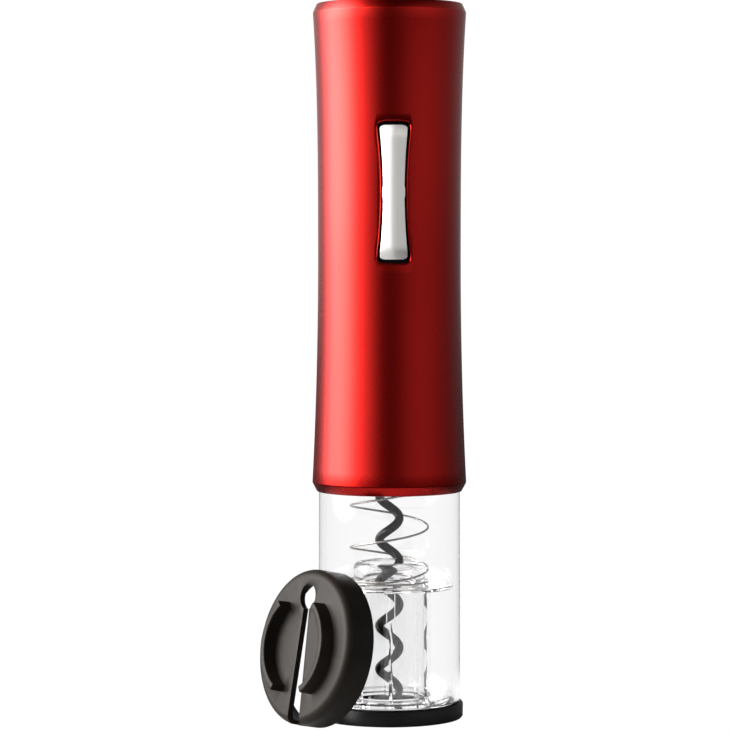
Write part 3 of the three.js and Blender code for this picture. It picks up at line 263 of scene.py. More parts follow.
def turn_up(name, rings, sides, closed=True, centre=None):
    """A turned piece: a circle drawn through (radius, height) rings, either back to the first ring
    or with both ends filled."""
    centre = centre or (axis_x, axis_y)
    bpy.ops.object.select_all(action="DESELECT")
    radius, height = rings[0]
    bpy.ops.mesh.primitive_circle_add(vertices=sides, radius=radius, location=(*centre, height))
    obj = bpy.context.object
    settle(obj, name)
    bpy.ops.object.mode_set(mode="EDIT")
    bpy.ops.mesh.select_all(action="SELECT")
    for next_radius, next_height in rings[1:]:
        bpy.ops.mesh.extrude_region_move(
            TRANSFORM_OT_translate={"value": (0, 0, next_height - height)}
        )
        factor = next_radius / radius
        bpy.ops.transform.resize(
            value=(factor, factor, 1), center_override=(*centre, next_height)
        )
        radius, height = next_radius, next_height
    if closed:
        bpy.ops.mesh.select_all(action="SELECT")
        bpy.ops.mesh.remove_doubles(threshold=1e-6)
    else:
        bpy.ops.mesh.edge_face_add()
        pick(obj, "VERT", lambda co: abs(co.z - rings[0][1]) < 1e-7
             and abs((co.xy - Vector(centre)).length - rings[0][0]) < 1e-6)
        bpy.ops.mesh.edge_face_add()
    bpy.ops.mesh.select_all(action="SELECT")
    bpy.ops.mesh.normals_make_consistent(inside=False)
    bpy.ops.object.mode_set(mode="OBJECT")
    return obj


def finish_with(obj, kind, **settings):
    """Adds a modifier and applies it."""
    bpy.ops.object.select_all(action="DESELECT")
    obj.select_set(True)
    bpy.context.view_layer.objects.active = obj
    modifier = obj.modifiers.new(kind.lower(), kind)
    for key, value in settings.items():
        setattr(modifier, key, value)
    bpy.ops.object.modifier_apply(modifier=modifier.name)


def smooth(obj, angle=35):
    bpy.ops.object.select_all(action="DESELECT")
    obj.select_set(True)
    bpy.context.view_layer.objects.active = obj
    bpy.ops.object.shade_smooth_by_angle(angle=radians(angle))


def shell_radius(z):
    """The shell's outside radius: it flares from its waist to both ends."""
    if z > SHELL_WAIST:
        return WAIST_R + TOP_FLARE * ((z - SHELL_WAIST) / (SHELL_TOP - SHELL_WAIST)) ** 3
    return WAIST_R + FOOT_FLARE * ((SHELL_WAIST - z) / (SHELL_WAIST - SHELL_FOOT)) ** 2.1


def shell_piece():
    """The tube with its chamfered ends, a turned-in foot and a ledge for the battery cap."""
    wall = 0.0016
    chamfer = 0.003
    ring_step = 0.0044
    levels = [SHELL_FOOT + chamfer + ring_step * i for i in range(36)]
    levels = [z for z in levels if z < SHELL_TOP - 0.0045] + [SHELL_TOP - chamfer]
    bore_foot, bore_top = 0.0985, SHELL_TOP - 0.009
    outside = [(shell_radius(z), z) for z in levels]
    inside = [(shell_radius(z) - wall, z) for z in levels if bore_foot < z < bore_top]
    foot_r = 0.02375
    rim_r, mouth_r, ledge_r = 0.0244, 0.0224, 0.0209
    seat = SHELL_TOP - 0.0031
    rings = [
        (foot_r, SHELL_FOOT),
        (foot_r + 0.0006, SHELL_FOOT),
        *outside,
        (rim_r, SHELL_TOP),
        (mouth_r, SHELL_TOP),
        (mouth_r, seat),
        (ledge_r, seat),
        (ledge_r, seat - 0.0022),
        (shell_radius(seat) - wall, seat - 0.0042),
        *reversed(inside),
        (foot_r, SHELL_FOOT + 0.004),
        (foot_r, SHELL_FOOT),
    ]
    shell = turn_up("shell_skin", rings, 160)
    finish_with(shell, "BEVEL", width=0.0003, segments=3, limit_method="ANGLE",
                angle_limit=radians(20), use_clamp_overlap=True)
    return shell


shell_skin = shell_piece()

# the recess for the rocker follows the rocker's own place and length
button_low, button_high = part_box("rocker_button")
ROCKER_Z = (button_low.z + button_high.z) / 2
ROCKER_HALF = (button_high.z - button_low.z) / 2
OUTLINE_ROWS = 40


def waisted_block(name, end, waist, half_length, corner, front, back, rows):
    """A block with a waisted outline in X and Z, from one Y to another, its front split into rows."""
    bpy.ops.object.select_all(action="DESELECT")
    bpy.ops.mesh.primitive_plane_add(
        size=1, location=(axis_x, axis_y + front, ROCKER_Z), rotation=(radians(90), 0, 0)
    )
    obj = bpy.context.object
    obj.scale = (2 * end, 2 * half_length, 1)
    settle(obj, name)
    bpy.ops.object.mode_set(mode="EDIT")
    for i in range(1, rows):
        height = ROCKER_Z - half_length + 2 * half_length * i / rows
        bpy.ops.mesh.select_all(action="SELECT")
        bpy.ops.mesh.bisect(plane_co=(axis_x, axis_y, height), plane_no=(0, 0, 1))
    bpy.ops.mesh.select_all(action="SELECT")
    bpy.ops.mesh.bisect(plane_co=(axis_x, axis_y, ROCKER_Z), plane_no=(1, 0, 0))
    mesh = bmesh.from_edit_mesh(obj.data)
    heights = sorted({round(v.co.z, 6) for v in mesh.verts})
    for height in heights[1:-1]:
        share = abs(height - ROCKER_Z) / (half_length - corner)
        width = waist + (end - waist) * min(share, 1) ** 2
        pick(obj, "VERT", lambda co: abs(co.z - height) < 1e-5)
        bpy.ops.transform.resize(
            value=(width / end, 1, 1), center_override=(axis_x, axis_y + front, height)
        )
    pick(obj, "VERT", lambda co: abs(co.x - axis_x) > 0.9 * end
         and abs(abs(co.z - ROCKER_Z) - half_length) < 1e-6)
    bpy.ops.mesh.bevel(offset=corner, segments=8, affect="VERTICES", clamp_overlap=False)
    bpy.ops.mesh.select_all(action="SELECT")
    bpy.ops.mesh.extrude_region_move(TRANSFORM_OT_translate={"value": (0, back - front, 0)})
    bpy.ops.mesh.select_all(action="SELECT")
    bpy.ops.mesh.remove_doubles(threshold=1e-6)
    bpy.ops.mesh.normals_make_consistent(inside=False)
    bpy.ops.object.mode_set(mode="OBJECT")
    return obj


def combine(obj, tool, operation):
    """Joins a solid to a piece, with UNION, or cuts it out, with DIFFERENCE, and removes it."""
    finish_with(obj, "BOOLEAN", operation=operation, solver="EXACT", object=tool)
    bpy.data.objects.remove(tool)


RECESS_END = 0.0052  # half its width at the ends
RECESS_WAIST = 0.0039
RECESS_GAP = 0.0011  # beyond each end of the rocker
RECESS_CORNER = 0.0030
TOOL_FRONT, TOOL_BACK = -0.030, -0.018  # from the opener's axis, along Y
recess_tool = waisted_block(
    "recess_tool", RECESS_END, RECESS_WAIST, ROCKER_HALF + RECESS_GAP, RECESS_CORNER,
    TOOL_FRONT, TOOL_BACK, OUTLINE_ROWS,
)
# its sides open out towards the front, so that the lip of the recess is rolled in
LIP_R = 0.0011
bpy.ops.object.mode_set(mode="EDIT")
pick(recess_tool, "FACE", lambda co: co.y < axis_y + TOOL_FRONT + 0.0001)
bpy.ops.mesh.delete(type="FACE")
pick(recess_tool, "VERT", lambda co: co.y < axis_y + TOOL_FRONT + 0.0001)


def outline_out(verts):
    """The outward direction of the outline at each vertex, in the plane of the front."""
    away = {}
    for vertex in verts:
        beside = [edge.other_vert(vertex) for edge in vertex.link_edges]
        near = [other.co for other in beside if other in verts]
        along = near[0] - near[1]
        normal = Vector((along.z, 0, -along.x)).normalized()
        if normal.dot(vertex.co - Vector((axis_x, vertex.co.y, vertex.co.z))) < 0 or (
            abs(vertex.co.x - axis_x) < 1e-4
            and normal.z * (vertex.co.z - ROCKER_Z) < 0
        ):
            normal = -normal
        away[vertex] = normal
    return away


def from_front(vertex):
    """Where a vertex lies as seen from the front, to find it again once it is extruded."""
    return tuple(round(c, 7) for c in vertex.co.xz)


mesh = bmesh.from_edit_mesh(recess_tool.data)
outline = {v for v in mesh.verts if v.select}
away = outline_out(outline)
starts = {from_front(v): (v.co.copy(), away[v]) for v in outline}
# round the lip: how far its side leans from the shell's face, and a straight run past it
LIP_STEPS = ((90, 0), (75, 0), (60, 0), (45, 0), (30, 0), (15, 0), (15, 0.0006))
for step, (lean, beyond) in enumerate(LIP_STEPS):
    if step:
        bpy.ops.mesh.extrude_edges_move(TRANSFORM_OT_translate={"value": (0, -0.0001, 0)})
        mesh = bmesh.from_edit_mesh(recess_tool.data)
    lean = radians(lean)
    outward = LIP_R * (1 - sin(lean)) + beyond * cos(lean)
    depth = LIP_R * (1 - cos(lean)) - beyond * sin(lean)
    moved = {}
    for vertex in [v for v in mesh.verts if v.select]:
        start, normal = starts[from_front(vertex)]
        place = start + normal * outward
        surface = sqrt(shell_radius(place.z) ** 2 - (place.x - axis_x) ** 2)
        vertex.co = (place.x, axis_y - surface + depth, place.z)
        moved[from_front(vertex)] = (start, normal)
    starts = moved
    bmesh.update_edit_mesh(recess_tool.data)
bpy.ops.mesh.extrude_edges_move(TRANSFORM_OT_translate={"value": (0, -0.003, 0)})
bpy.ops.mesh.edge_face_add()
bpy.ops.mesh.select_all(action="SELECT")
bpy.ops.mesh.normals_make_consistent(inside=False)
bpy.ops.object.mode_set(mode="OBJECT")
combine(shell_skin, recess_tool, "DIFFERENCE")
smooth(shell_skin, 20)


def group(name, inputs, outputs):
    """An empty shader node group with its named sockets."""
    tree = bpy.data.node_groups.new(name, "ShaderNodeTree")
    for label, kind, value in inputs:
        socket = tree.interface.new_socket(label, in_out="INPUT", socket_type="NodeSocket" + kind)
        if value is not None:
            socket.default_value = value
    for label, kind in outputs:
        tree.interface.new_socket(label, in_out="OUTPUT", socket_type="NodeSocket" + kind)
    enter = tree.nodes.new("NodeGroupInput")
    leave = tree.nodes.new("NodeGroupOutput")
    return tree, enter, leave


def surface_grain():
    """Fine grain and slow mottling, as two masks from 0 to 1, and a height made of both."""
    tree, enter, leave = group(
        "Surface Grain",
        [
            ("Vector", "Vector", None),
            ("Grain Size", "Float", 900.0),
            ("Mottle Size", "Float", 60.0),
        ],
        [("Grain", "Float"), ("Mottle", "Float"), ("Height", "Float")],
    )
    fine = tree.nodes.new("ShaderNodeTexNoise")
    fine.inputs["Detail"].default_value = 4
    fine.inputs["Roughness"].default_value = 0.6
    slow = tree.nodes.new("ShaderNodeTexNoise")
    slow.inputs["Detail"].default_value = 3
    both = tree.nodes.new("ShaderNodeMath")
    both.operation = "MULTIPLY_ADD"
    both.inputs[1].default_value = 0.15
    tree.links.new(enter.outputs["Vector"], fine.inputs["Vector"])
    tree.links.new(enter.outputs["Vector"], slow.inputs["Vector"])
    tree.links.new(enter.outputs["Grain Size"], fine.inputs["Scale"])
    tree.links.new(enter.outputs["Mottle Size"], slow.inputs["Scale"])
    tree.links.new(slow.outputs["Fac"], both.inputs[0])
    tree.links.new(fine.outputs["Fac"], both.inputs[2])
    tree.links.new(fine.outputs["Fac"], leave.inputs["Grain"])
    tree.links.new(slow.outputs["Fac"], leave.inputs["Mottle"])
    tree.links.new(both.outputs[0], leave.inputs["Height"])
    return tree


def edge_wear():
    """A mask that is 1 where a convex edge has been rubbed, broken up by noise."""
    tree, enter, leave = group(
        "Edge Wear", [("Vector", "Vector", None), ("Amount", "Float", 0.5)], [("Mask", "Float")]
    )
    shape = tree.nodes.new("ShaderNodeNewGeometry")
    edge = tree.nodes.new("ShaderNodeMapRange")
    edge.inputs["From Min"].default_value = 0.52
    edge.inputs["From Max"].default_value = 0.62
    rub = tree.nodes.new("ShaderNodeTexNoise")
    rub.inputs["Scale"].default_value = 400
    rub.inputs["Detail"].default_value = 5
    broken = tree.nodes.new("ShaderNodeMath")
    broken.operation = "MULTIPLY"
    amount = tree.nodes.new("ShaderNodeMath")
    amount.operation = "MULTIPLY"
    amount.use_clamp = True
    tree.links.new(enter.outputs["Vector"], rub.inputs["Vector"])
    tree.links.new(shape.outputs["Pointiness"], edge.inputs["Value"])
    tree.links.new(edge.outputs[0], broken.inputs[0])
    tree.links.new(rub.outputs["Fac"], broken.inputs[1])
    tree.links.new(broken.outputs[0], amount.inputs[0])
    tree.links.new(enter.outputs["Amount"], amount.inputs[1])
    tree.links.new(amount.outputs[0], leave.inputs["Mask"])
    return tree


GRAIN = surface_grain()
WEAR = edge_wear()


def finish_material(
    name, dark_shade, light_shade, metallic, rough, grain, mottle, bump, wear=0.0,
    worn_shade=(0.6, 0.6, 0.6), **plain
):
    """A surface whose shade runs between two, with grain in its gloss and height and rubbed edges.

    The plain values go straight to the shader's sockets of those names."""
    material = bpy.data.materials.new(name)
    material.use_nodes = True
    nodes, links = material.node_tree.nodes, material.node_tree.links
    shader = nodes["Principled BSDF"]
    shader.inputs["Metallic"].default_value = metallic
    for label, value in plain.items():
        shader.inputs[label.replace("_", " ")].default_value = value
    place = nodes.new("ShaderNodeTexCoord")
    mapping = nodes.new("ShaderNodeMapping")
    texture = nodes.new("ShaderNodeGroup")
    texture.node_tree = GRAIN
    texture.inputs["Grain Size"].default_value = grain
    texture.inputs["Mottle Size"].default_value = mottle
    shade = nodes.new("ShaderNodeMix")
    shade.data_type = "RGBA"
    shade.inputs["A"].default_value = (*dark_shade, 1)
    shade.inputs["B"].default_value = (*light_shade, 1)
    gloss = nodes.new("ShaderNodeMapRange")
    gloss.inputs["From Min"].default_value = 0.3
    gloss.inputs["From Max"].default_value = 0.7
    gloss.inputs["To Min"].default_value = rough[0]
    gloss.inputs["To Max"].default_value = rough[1]
    height = nodes.new("ShaderNodeBump")
    height.inputs["Strength"].default_value = 0.6
    height.inputs["Distance"].default_value = bump
    links.new(place.outputs["Object"], mapping.inputs["Vector"])
    links.new(mapping.outputs[0], texture.inputs["Vector"])
    links.new(texture.outputs["Mottle"], shade.inputs["Factor"])
    links.new(texture.outputs["Grain"], gloss.inputs["Value"])
    links.new(texture.outputs["Height"], height.inputs["Height"])
    links.new(gloss.outputs[0], shader.inputs["Roughness"])
    links.new(height.outputs[0], shader.inputs["Normal"])
    colour = shade.outputs["Result"]
    if wear:
        rubbed = nodes.new("ShaderNodeGroup")
        rubbed.node_tree = WEAR
        rubbed.inputs["Amount"].default_value = wear
        worn = nodes.new("ShaderNodeMix")
        worn.data_type = "RGBA"
        worn.inputs["B"].default_value = (*worn_shade, 1)
        links.new(mapping.outputs[0], rubbed.inputs["Vector"])
        links.new(rubbed.outputs["Mask"], worn.inputs["Factor"])
        links.new(colour, worn.inputs["A"])
        colour = worn.outputs["Result"]
    links.new(colour, shader.inputs["Base Color"])
    return material


red_lacquer = finish_material(
    "red_lacquer", (0.27, 0.0026, 0.0012), (0.31, 0.0036, 0.0018), 1.0, (0.25, 0.28),
    grain=2600, mottle=45, bump=0.0000003,
    Coat_Weight=0.15, Coat_Roughness=0.2,
)
shell_skin.data.materials.append(red_lacquer)
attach(shell_skin, "housing")
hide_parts("shell")

# ------------------------------------------------------------------ battery cap
# A turned aluminium disc in the same red, let into the top. A fine groove near its edge and a coin
# slot show how it turns to open, and a skirt and a contact holder hang under it.

cap_low, cap_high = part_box("battery_cap")
CAP_R = (cap_high.x - cap_low.x) / 2
CAP_UNDERSIDE = SHELL_TOP - 0.0028
CONTACT_HOLDER_R = 0.0155
SKIRT_INNER_R, SKIRT_OUTER_R = 0.0189, 0.0203
GROOVE_FLOOR = SHELL_TOP - 0.0004
COIN_SLOT = (0.018, 0.0022, 0.0024)
cap_rings = [
    (CONTACT_HOLDER_R, cap_low.z + 0.0004),
    (CONTACT_HOLDER_R, CAP_UNDERSIDE),
    (SKIRT_INNER_R, CAP_UNDERSIDE),
    (SKIRT_INNER_R, cap_low.z),
    (SKIRT_OUTER_R, cap_low.z),
    (SKIRT_OUTER_R, CAP_UNDERSIDE),
    (CAP_R, CAP_UNDERSIDE),
    (CAP_R, SHELL_TOP - 0.0004),
    (CAP_R - 0.0004, SHELL_TOP),
    (CAP_R - 0.0030, SHELL_TOP),
    (CAP_R - 0.0033, GROOVE_FLOOR),
    (CAP_R - 0.0037, GROOVE_FLOOR),
    (CAP_R - 0.0040, SHELL_TOP),
    (0.0060, SHELL_TOP),
]
cap = turn_up("cap_disc", cap_rings, 128, closed=False)
bpy.ops.object.select_all(action="DESELECT")
bpy.ops.mesh.primitive_cube_add(size=1, location=(axis_x, axis_y, SHELL_TOP))
coin_tool = bpy.context.object
coin_tool.scale = COIN_SLOT
settle(coin_tool, "coin_tool")
finish_with(coin_tool, "BEVEL", width=0.0009, segments=4, limit_method="ANGLE")
combine(cap, coin_tool, "DIFFERENCE")
finish_with(cap, "BEVEL", width=0.00015, segments=2, limit_method="ANGLE",
            angle_limit=radians(35))
smooth(cap)
cap.data.materials.append(red_lacquer)
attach(cap, "battery_cap")
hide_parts("battery_cap")

# ------------------------------------------------------------------ rocker switch
# The rocker is moulded plastic, plated in satin silver. A ridge runs down its middle, its ends
# slope, small ears stand out at its waist, and a lug at its back takes the pin that it tilts on.

silver_plate = finish_material(
    "silver_plate", (0.72, 0.705, 0.685), (0.78, 0.765, 0.74), 0.65, (0.38, 0.43),
    grain=3000, mottle=80, bump=0.000002, wear=0.1, worn_shade=(0.88, 0.88, 0.88),
)
PLATE_END = 0.0045  # half its width at the ends
PLATE_WAIST = 0.0035
PLATE_CORNER = 0.0020
PLATE_DEPTH = 0.0024
RIDGE_Y = button_low.y - axis_y - 0.0003
RIDGE_ROUND = 0.0011
EDGE_DROP = 0.0009  # how far the faces fall away beside the ridge
END_DROP, END_LENGTH = 0.0012, 0.0035  # and how far, over what length, at both ends
EAR_HALF = 0.0016
EAR_WIDEN = 1.06
button = waisted_block(
    "rocker_plate", PLATE_END, PLATE_WAIST, ROCKER_HALF, PLATE_CORNER,
    RIDGE_Y, RIDGE_Y + PLATE_DEPTH, OUTLINE_ROWS,
)
bpy.ops.object.mode_set(mode="EDIT")
mesh = bmesh.from_edit_mesh(button.data)
for vertex in mesh.verts:
    if vertex.co.y > axis_y + RIDGE_Y + 0.001:
        continue
    side = abs(vertex.co.x - axis_x) / PLATE_END
    end = max(0, abs(vertex.co.z - ROCKER_Z) - ROCKER_HALF + END_LENGTH) / END_LENGTH
    vertex.co.y += EDGE_DROP * side + END_DROP * end ** 1.5
bmesh.update_edit_mesh(button.data)
pick(button, "EDGE", lambda co: abs(co.x - axis_x) < 1e-5 and co.y < axis_y + RIDGE_Y + 0.0018)
bpy.ops.mesh.bevel(offset=RIDGE_ROUND, segments=6, affect="EDGES", clamp_overlap=False)
pick(button, "VERT", lambda co: abs(co.z - ROCKER_Z) < EAR_HALF and abs(co.x - axis_x) > 0.003)
bpy.ops.transform.resize(value=(EAR_WIDEN, 1, 1), center_override=(axis_x, axis_y, ROCKER_Z))
bpy.ops.object.mode_set(mode="OBJECT")
finish_with(button, "BEVEL", width=0.0005, segments=4, limit_method="ANGLE",
            angle_limit=radians(28), use_clamp_overlap=True)
LUG_WIDTH, LUG_TALL = 0.0052, 0.0030
LUG_OVERLAP = 0.0004
lug_front = axis_y + RIDGE_Y + PLATE_DEPTH - LUG_OVERLAP
bpy.ops.object.select_all(action="DESELECT")
bpy.ops.mesh.primitive_cube_add(
    size=1, location=(axis_x, (lug_front + button_high.y) / 2, ROCKER_Z)
)
lug = bpy.context.object
lug.scale = (LUG_WIDTH, button_high.y - lug_front, LUG_TALL)
settle(lug, "rocker_lug")
finish_with(lug, "BEVEL", width=0.0003, segments=2, limit_method="ANGLE")
combine(button, lug, "UNION")
smooth(button, 32)
button.data.materials.append(silver_plate)
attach(button, "rocker")
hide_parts("rocker_button")

# ------------------------------------------------------------------ base ring
# A heavy black ABS ring that the opener stands on, with small rounded edges and the hole that
# centres the bottle's lip.

black_abs = finish_material(
    "black_abs", (0.002, 0.002, 0.002), (0.004, 0.0035, 0.003), 0.0, (0.38, 0.5),
    grain=1800, mottle=70, bump=0.00001, wear=0.08, worn_shade=(0.05, 0.05, 0.05),
    Specular_IOR_Level=0.15,
)
base_low, base_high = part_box("base_ring")
BASE_R = (base_high.x - base_low.x) / 2
BASE_TOP = base_high.z
HOLE_R = 0.0178
base = turn_up(
    "base_foot",
    [
        (HOLE_R + 0.0006, 0),
        (BASE_R - 0.0006, 0),
        (BASE_R - 0.0001, 0.0006),
        (BASE_R, BASE_TOP - 0.0007),
        (BASE_R - 0.0003, BASE_TOP - 0.0002),
        (BASE_R - 0.0009, BASE_TOP),
        (HOLE_R + 0.0004, BASE_TOP),
        (HOLE_R, BASE_TOP - 0.0004),
        (HOLE_R, 0.0006),
        (HOLE_R + 0.0006, 0),
    ],
    160,
)
smooth(base, 35)
base.data.materials.append(black_abs)
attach(base, "housing")
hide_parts("base_ring")

# ------------------------------------------------------------------ clear tube
# A tapered tube of injection-moulded SAN, polished, welded to the base ring. Faint flow waves and
# handling haze are all that shows on it.

tube_low, tube_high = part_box("clear_tube")
TUBE_FOOT_R = (tube_high.x - tube_low.x) / 2
TUBE_TOP_R = TUBE_FOOT_R - 0.0002
TUBE_WALL = 0.0018
TUBE_EDGE = 0.0003
tube = turn_up(
    "tube_wall",
    [
        (TUBE_FOOT_R - TUBE_WALL, tube_low.z),
        (TUBE_FOOT_R - TUBE_EDGE, tube_low.z),
        (TUBE_FOOT_R, tube_low.z + TUBE_EDGE),
        (TUBE_TOP_R, tube_high.z - TUBE_EDGE),
        (TUBE_TOP_R - TUBE_EDGE, tube_high.z),
        (TUBE_TOP_R - TUBE_WALL, tube_high.z),
        (TUBE_FOOT_R - TUBE_WALL, tube_low.z),
    ],
    256,
)
smooth(tube, 35)


def clear_material(name, tint, rough, waves):
    """Polished clear plastic: faint flow waves in its surface and a little haze from handling."""
    material = bpy.data.materials.new(name)
    material.use_nodes = True
    nodes, links = material.node_tree.nodes, material.node_tree.links
    shader = nodes["Principled BSDF"]
    shader.inputs["Transmission Weight"].default_value = 1.0
    shader.inputs["Metallic"].default_value = 0.0
    shader.inputs["IOR"].default_value = 1.5
    place = nodes.new("ShaderNodeTexCoord")
    mapping = nodes.new("ShaderNodeMapping")
    mapping.inputs["Scale"].default_value = (1, 1, 0.25)
    texture = nodes.new("ShaderNodeGroup")
    texture.node_tree = GRAIN
    texture.inputs["Grain Size"].default_value = 70
    texture.inputs["Mottle Size"].default_value = 25
    shade = nodes.new("ShaderNodeMix")
    shade.data_type = "RGBA"
    shade.inputs["A"].default_value = (*tint, 1)
    shade.inputs["B"].default_value = (0.995, 0.995, 0.995, 1)
    haze = nodes.new("ShaderNodeMapRange")
    haze.inputs["From Min"].default_value = 0.35
    haze.inputs["From Max"].default_value = 0.75
    haze.inputs["To Min"].default_value = rough[0]
    haze.inputs["To Max"].default_value = rough[1]
    height = nodes.new("ShaderNodeBump")
    height.inputs["Strength"].default_value = 0.5
    height.inputs["Distance"].default_value = waves
    links.new(place.outputs["Object"], mapping.inputs["Vector"])
    links.new(mapping.outputs[0], texture.inputs["Vector"])
    links.new(texture.outputs["Mottle"], shade.inputs["Factor"])
    links.new(shade.outputs["Result"], shader.inputs["Base Color"])
    links.new(texture.outputs["Grain"], haze.inputs["Value"])
    links.new(haze.outputs[0], shader.inputs["Roughness"])
    links.new(texture.outputs["Height"], height.inputs["Height"])
    links.new(height.outputs[0], shader.inputs["Normal"])
    return material


clear_tube_plastic = clear_material(
    "clear_tube_plastic", (0.97, 0.965, 0.97), (0.0, 0.03), 0.00002
)
tube.data.materials.append(clear_tube_plastic)
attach(tube, "housing")
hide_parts("clear_tube")

# ------------------------------------------------------------------ cork sleeve
# A clear moulding that slides up as a bottle is pushed in. Ribs inside keep the cork from turning,
# a key runs down its front, and a thick rounded collar stands inside the spring.

sleeve_low, sleeve_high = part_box("cork_sleeve")
SLEEVE_FOOT = sleeve_low.z
FLANGE_R = (sleeve_high.x - sleeve_low.x) / 2
COLLAR_TOP = sleeve_high.z
FLANGE_TOP = COLLAR_TOP - 0.0077
FLANGE_FOOT = FLANGE_TOP - 0.0010
BORE_R = 0.0129
BODY_R = 0.0140
FOOT_R = 0.0204
COLLAR_R = 0.0121
COLLAR_BORE_R = 0.0091
RIB_R = 0.0108
RIB_PLACES = (30, 90, 150, 210, 330)
KEY_PLACE = 268.5
key_top = FLANGE_FOOT - 0.0002
key_foot = key_top - 0.0104
sleeve = turn_up(
    "sleeve_body",
    [
        (BORE_R, SLEEVE_FOOT),
        (FOOT_R, SLEEVE_FOOT),
        (FOOT_R, SLEEVE_FOOT + 0.0015),
        (FOOT_R - 0.0003, SLEEVE_FOOT + 0.0018),
        (BODY_R + 0.0003, SLEEVE_FOOT + 0.0018),
        (BODY_R, SLEEVE_FOOT + 0.0021),
        (BODY_R, key_foot - 0.0001),
        (BODY_R, key_foot),
        (BODY_R, key_foot + 0.0006),
        (BODY_R, key_top),
        (BODY_R, FLANGE_FOOT),
        (FLANGE_R - 0.0003, FLANGE_FOOT),
        (FLANGE_R, FLANGE_FOOT + 0.0003),
        (FLANGE_R, FLANGE_TOP - 0.0003),
        (FLANGE_R - 0.0003, FLANGE_TOP),
        (COLLAR_R + 0.0003, FLANGE_TOP),
        (COLLAR_R, FLANGE_TOP + 0.0004),
        (COLLAR_R, COLLAR_TOP - 0.0022),
        (COLLAR_R - 0.00015, COLLAR_TOP - 0.0014),
        (COLLAR_R - 0.0006, COLLAR_TOP - 0.0007),
        (COLLAR_R - 0.0012, COLLAR_TOP - 0.0002),
        (COLLAR_R - 0.0018, COLLAR_TOP),
        (COLLAR_BORE_R + 0.0005, COLLAR_TOP),
        (COLLAR_BORE_R, COLLAR_TOP - 0.0005),
        (COLLAR_BORE_R, FLANGE_FOOT),
        (BORE_R, FLANGE_FOOT),
        (BORE_R, SLEEVE_FOOT),
    ],
    240,
)
bpy.ops.object.mode_set(mode="EDIT")


def on_wall(co, radius, middle, half):
    """True for a point on a round wall, within half an angle of a place round the axis."""
    arm = co.xy - Vector((axis_x, axis_y))
    turned = degrees(atan2(arm.y, arm.x)) - middle
    return abs((turned + 180) % 360 - 180) < half and abs(arm.length - radius) < 2e-5


def spread_from_axis(share):
    """Moves what is selected out from the opener's axis, or in, by a share of its radius."""
    bpy.ops.transform.resize(value=(share, share, 1), center_override=(axis_x, axis_y, 0))


for rib in RIB_PLACES:
    pick(sleeve, "VERT", lambda co: on_wall(co, BORE_R, rib, 3.8))
    spread_from_axis(RIB_R / BORE_R)
# the key, and the fine line that runs on below it
pick(sleeve, "VERT", lambda co: on_wall(co, BODY_R, KEY_PLACE, 4.6)
     and key_foot - 1e-5 < co.z < key_top + 1e-5)
spread_from_axis(1.055)
pick(sleeve, "VERT", lambda co: on_wall(co, BODY_R, KEY_PLACE, 0.8) and co.z < key_foot)
spread_from_axis(1.016)
bpy.ops.object.mode_set(mode="OBJECT")
smooth(sleeve, 35)
clear_sleeve_plastic = clear_material(
    "clear_sleeve_plastic", (0.95, 0.95, 0.955), (0.0, 0.05), 0.00003
)
sleeve.data.materials.append(clear_sleeve_plastic)
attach(sleeve, "sleeve")
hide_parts("cork_sleeve")

# ------------------------------------------------------------------ return spring
# Drawn stainless wire, coiled right-handed with closed turns at both ends. It stands on the
# sleeve's flange round the collar and pushes the sleeve back down.

SPRING_R = 0.0131
SPRING_WIRE = 0.00036  # the wire's radius
SPRING_START = radians(177)
CLOSED_TURNS, FREE_TURNS = 1.25, 2.05
SPRING_STEPS = 220
spring_low, spring_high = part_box("return_spring")


def round_wire(name, points, thickness, sides_each_quarter, widths=None):
    """A round wire through the points, with its ends closed."""
    curve = bpy.data.curves.new(name, "CURVE")
    curve.dimensions = "3D"
    curve.bevel_depth = thickness
    curve.bevel_resolution = sides_each_quarter
    curve.use_fill_caps = True
    line = curve.splines.new("POLY")
    line.points.add(len(points) - 1)
    for i, (point, place) in enumerate(zip(line.points, points)):
        point.co = (*place, 1)
        if widths:
            point.radius = widths[i]
    obj = bpy.data.objects.new(name, curve)
    scene.collection.objects.link(obj)
    bpy.ops.object.select_all(action="DESELECT")
    obj.select_set(True)
    bpy.context.view_layer.objects.active = obj
    bpy.ops.object.convert(target="MESH")
    obj = bpy.context.object
    bpy.ops.object.mode_set(mode="EDIT")
    bpy.ops.mesh.select_all(action="SELECT")
    bpy.ops.mesh.remove_doubles(threshold=1e-7)
    bpy.ops.mesh.normals_make_consistent(inside=False)
    bpy.ops.object.mode_set(mode="OBJECT")
    smooth(obj, 60)
    return obj


low_z, high_z = spring_low.z + SPRING_WIRE, spring_high.z - SPRING_WIRE
closed_rise = CLOSED_TURNS * 2.4 * SPRING_WIRE
all_turns = 2 * CLOSED_TURNS + FREE_TURNS
spring_points = []
for i in range(SPRING_STEPS + 1):
    turn = all_turns * i / SPRING_STEPS
    z = low_z + closed_rise * turn / CLOSED_TURNS
    if turn > CLOSED_TURNS:
        share = min((turn - CLOSED_TURNS) / FREE_TURNS, 1)
        z = low_z + closed_rise + share * (high_z - low_z - 2 * closed_rise)
    if turn > CLOSED_TURNS + FREE_TURNS:
        z = high_z - closed_rise * (all_turns - turn) / CLOSED_TURNS
    angle = SPRING_START + 2 * pi * turn
    spring_points.append((axis_x + SPRING_R * cos(angle), axis_y + SPRING_R * sin(angle), z))
spring = round_wire("spring_coil", spring_points, SPRING_WIRE, 2)
drawn_steel = finish_material(
    "drawn_steel", (0.26, 0.24, 0.225), (0.38, 0.36, 0.34), 1.0, (0.22, 0.36),
    grain=1500, mottle=120, bump=0.000003,
)
spring.data.materials.append(drawn_steel)
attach(spring, "housing")
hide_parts("return_spring")
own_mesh(spring)

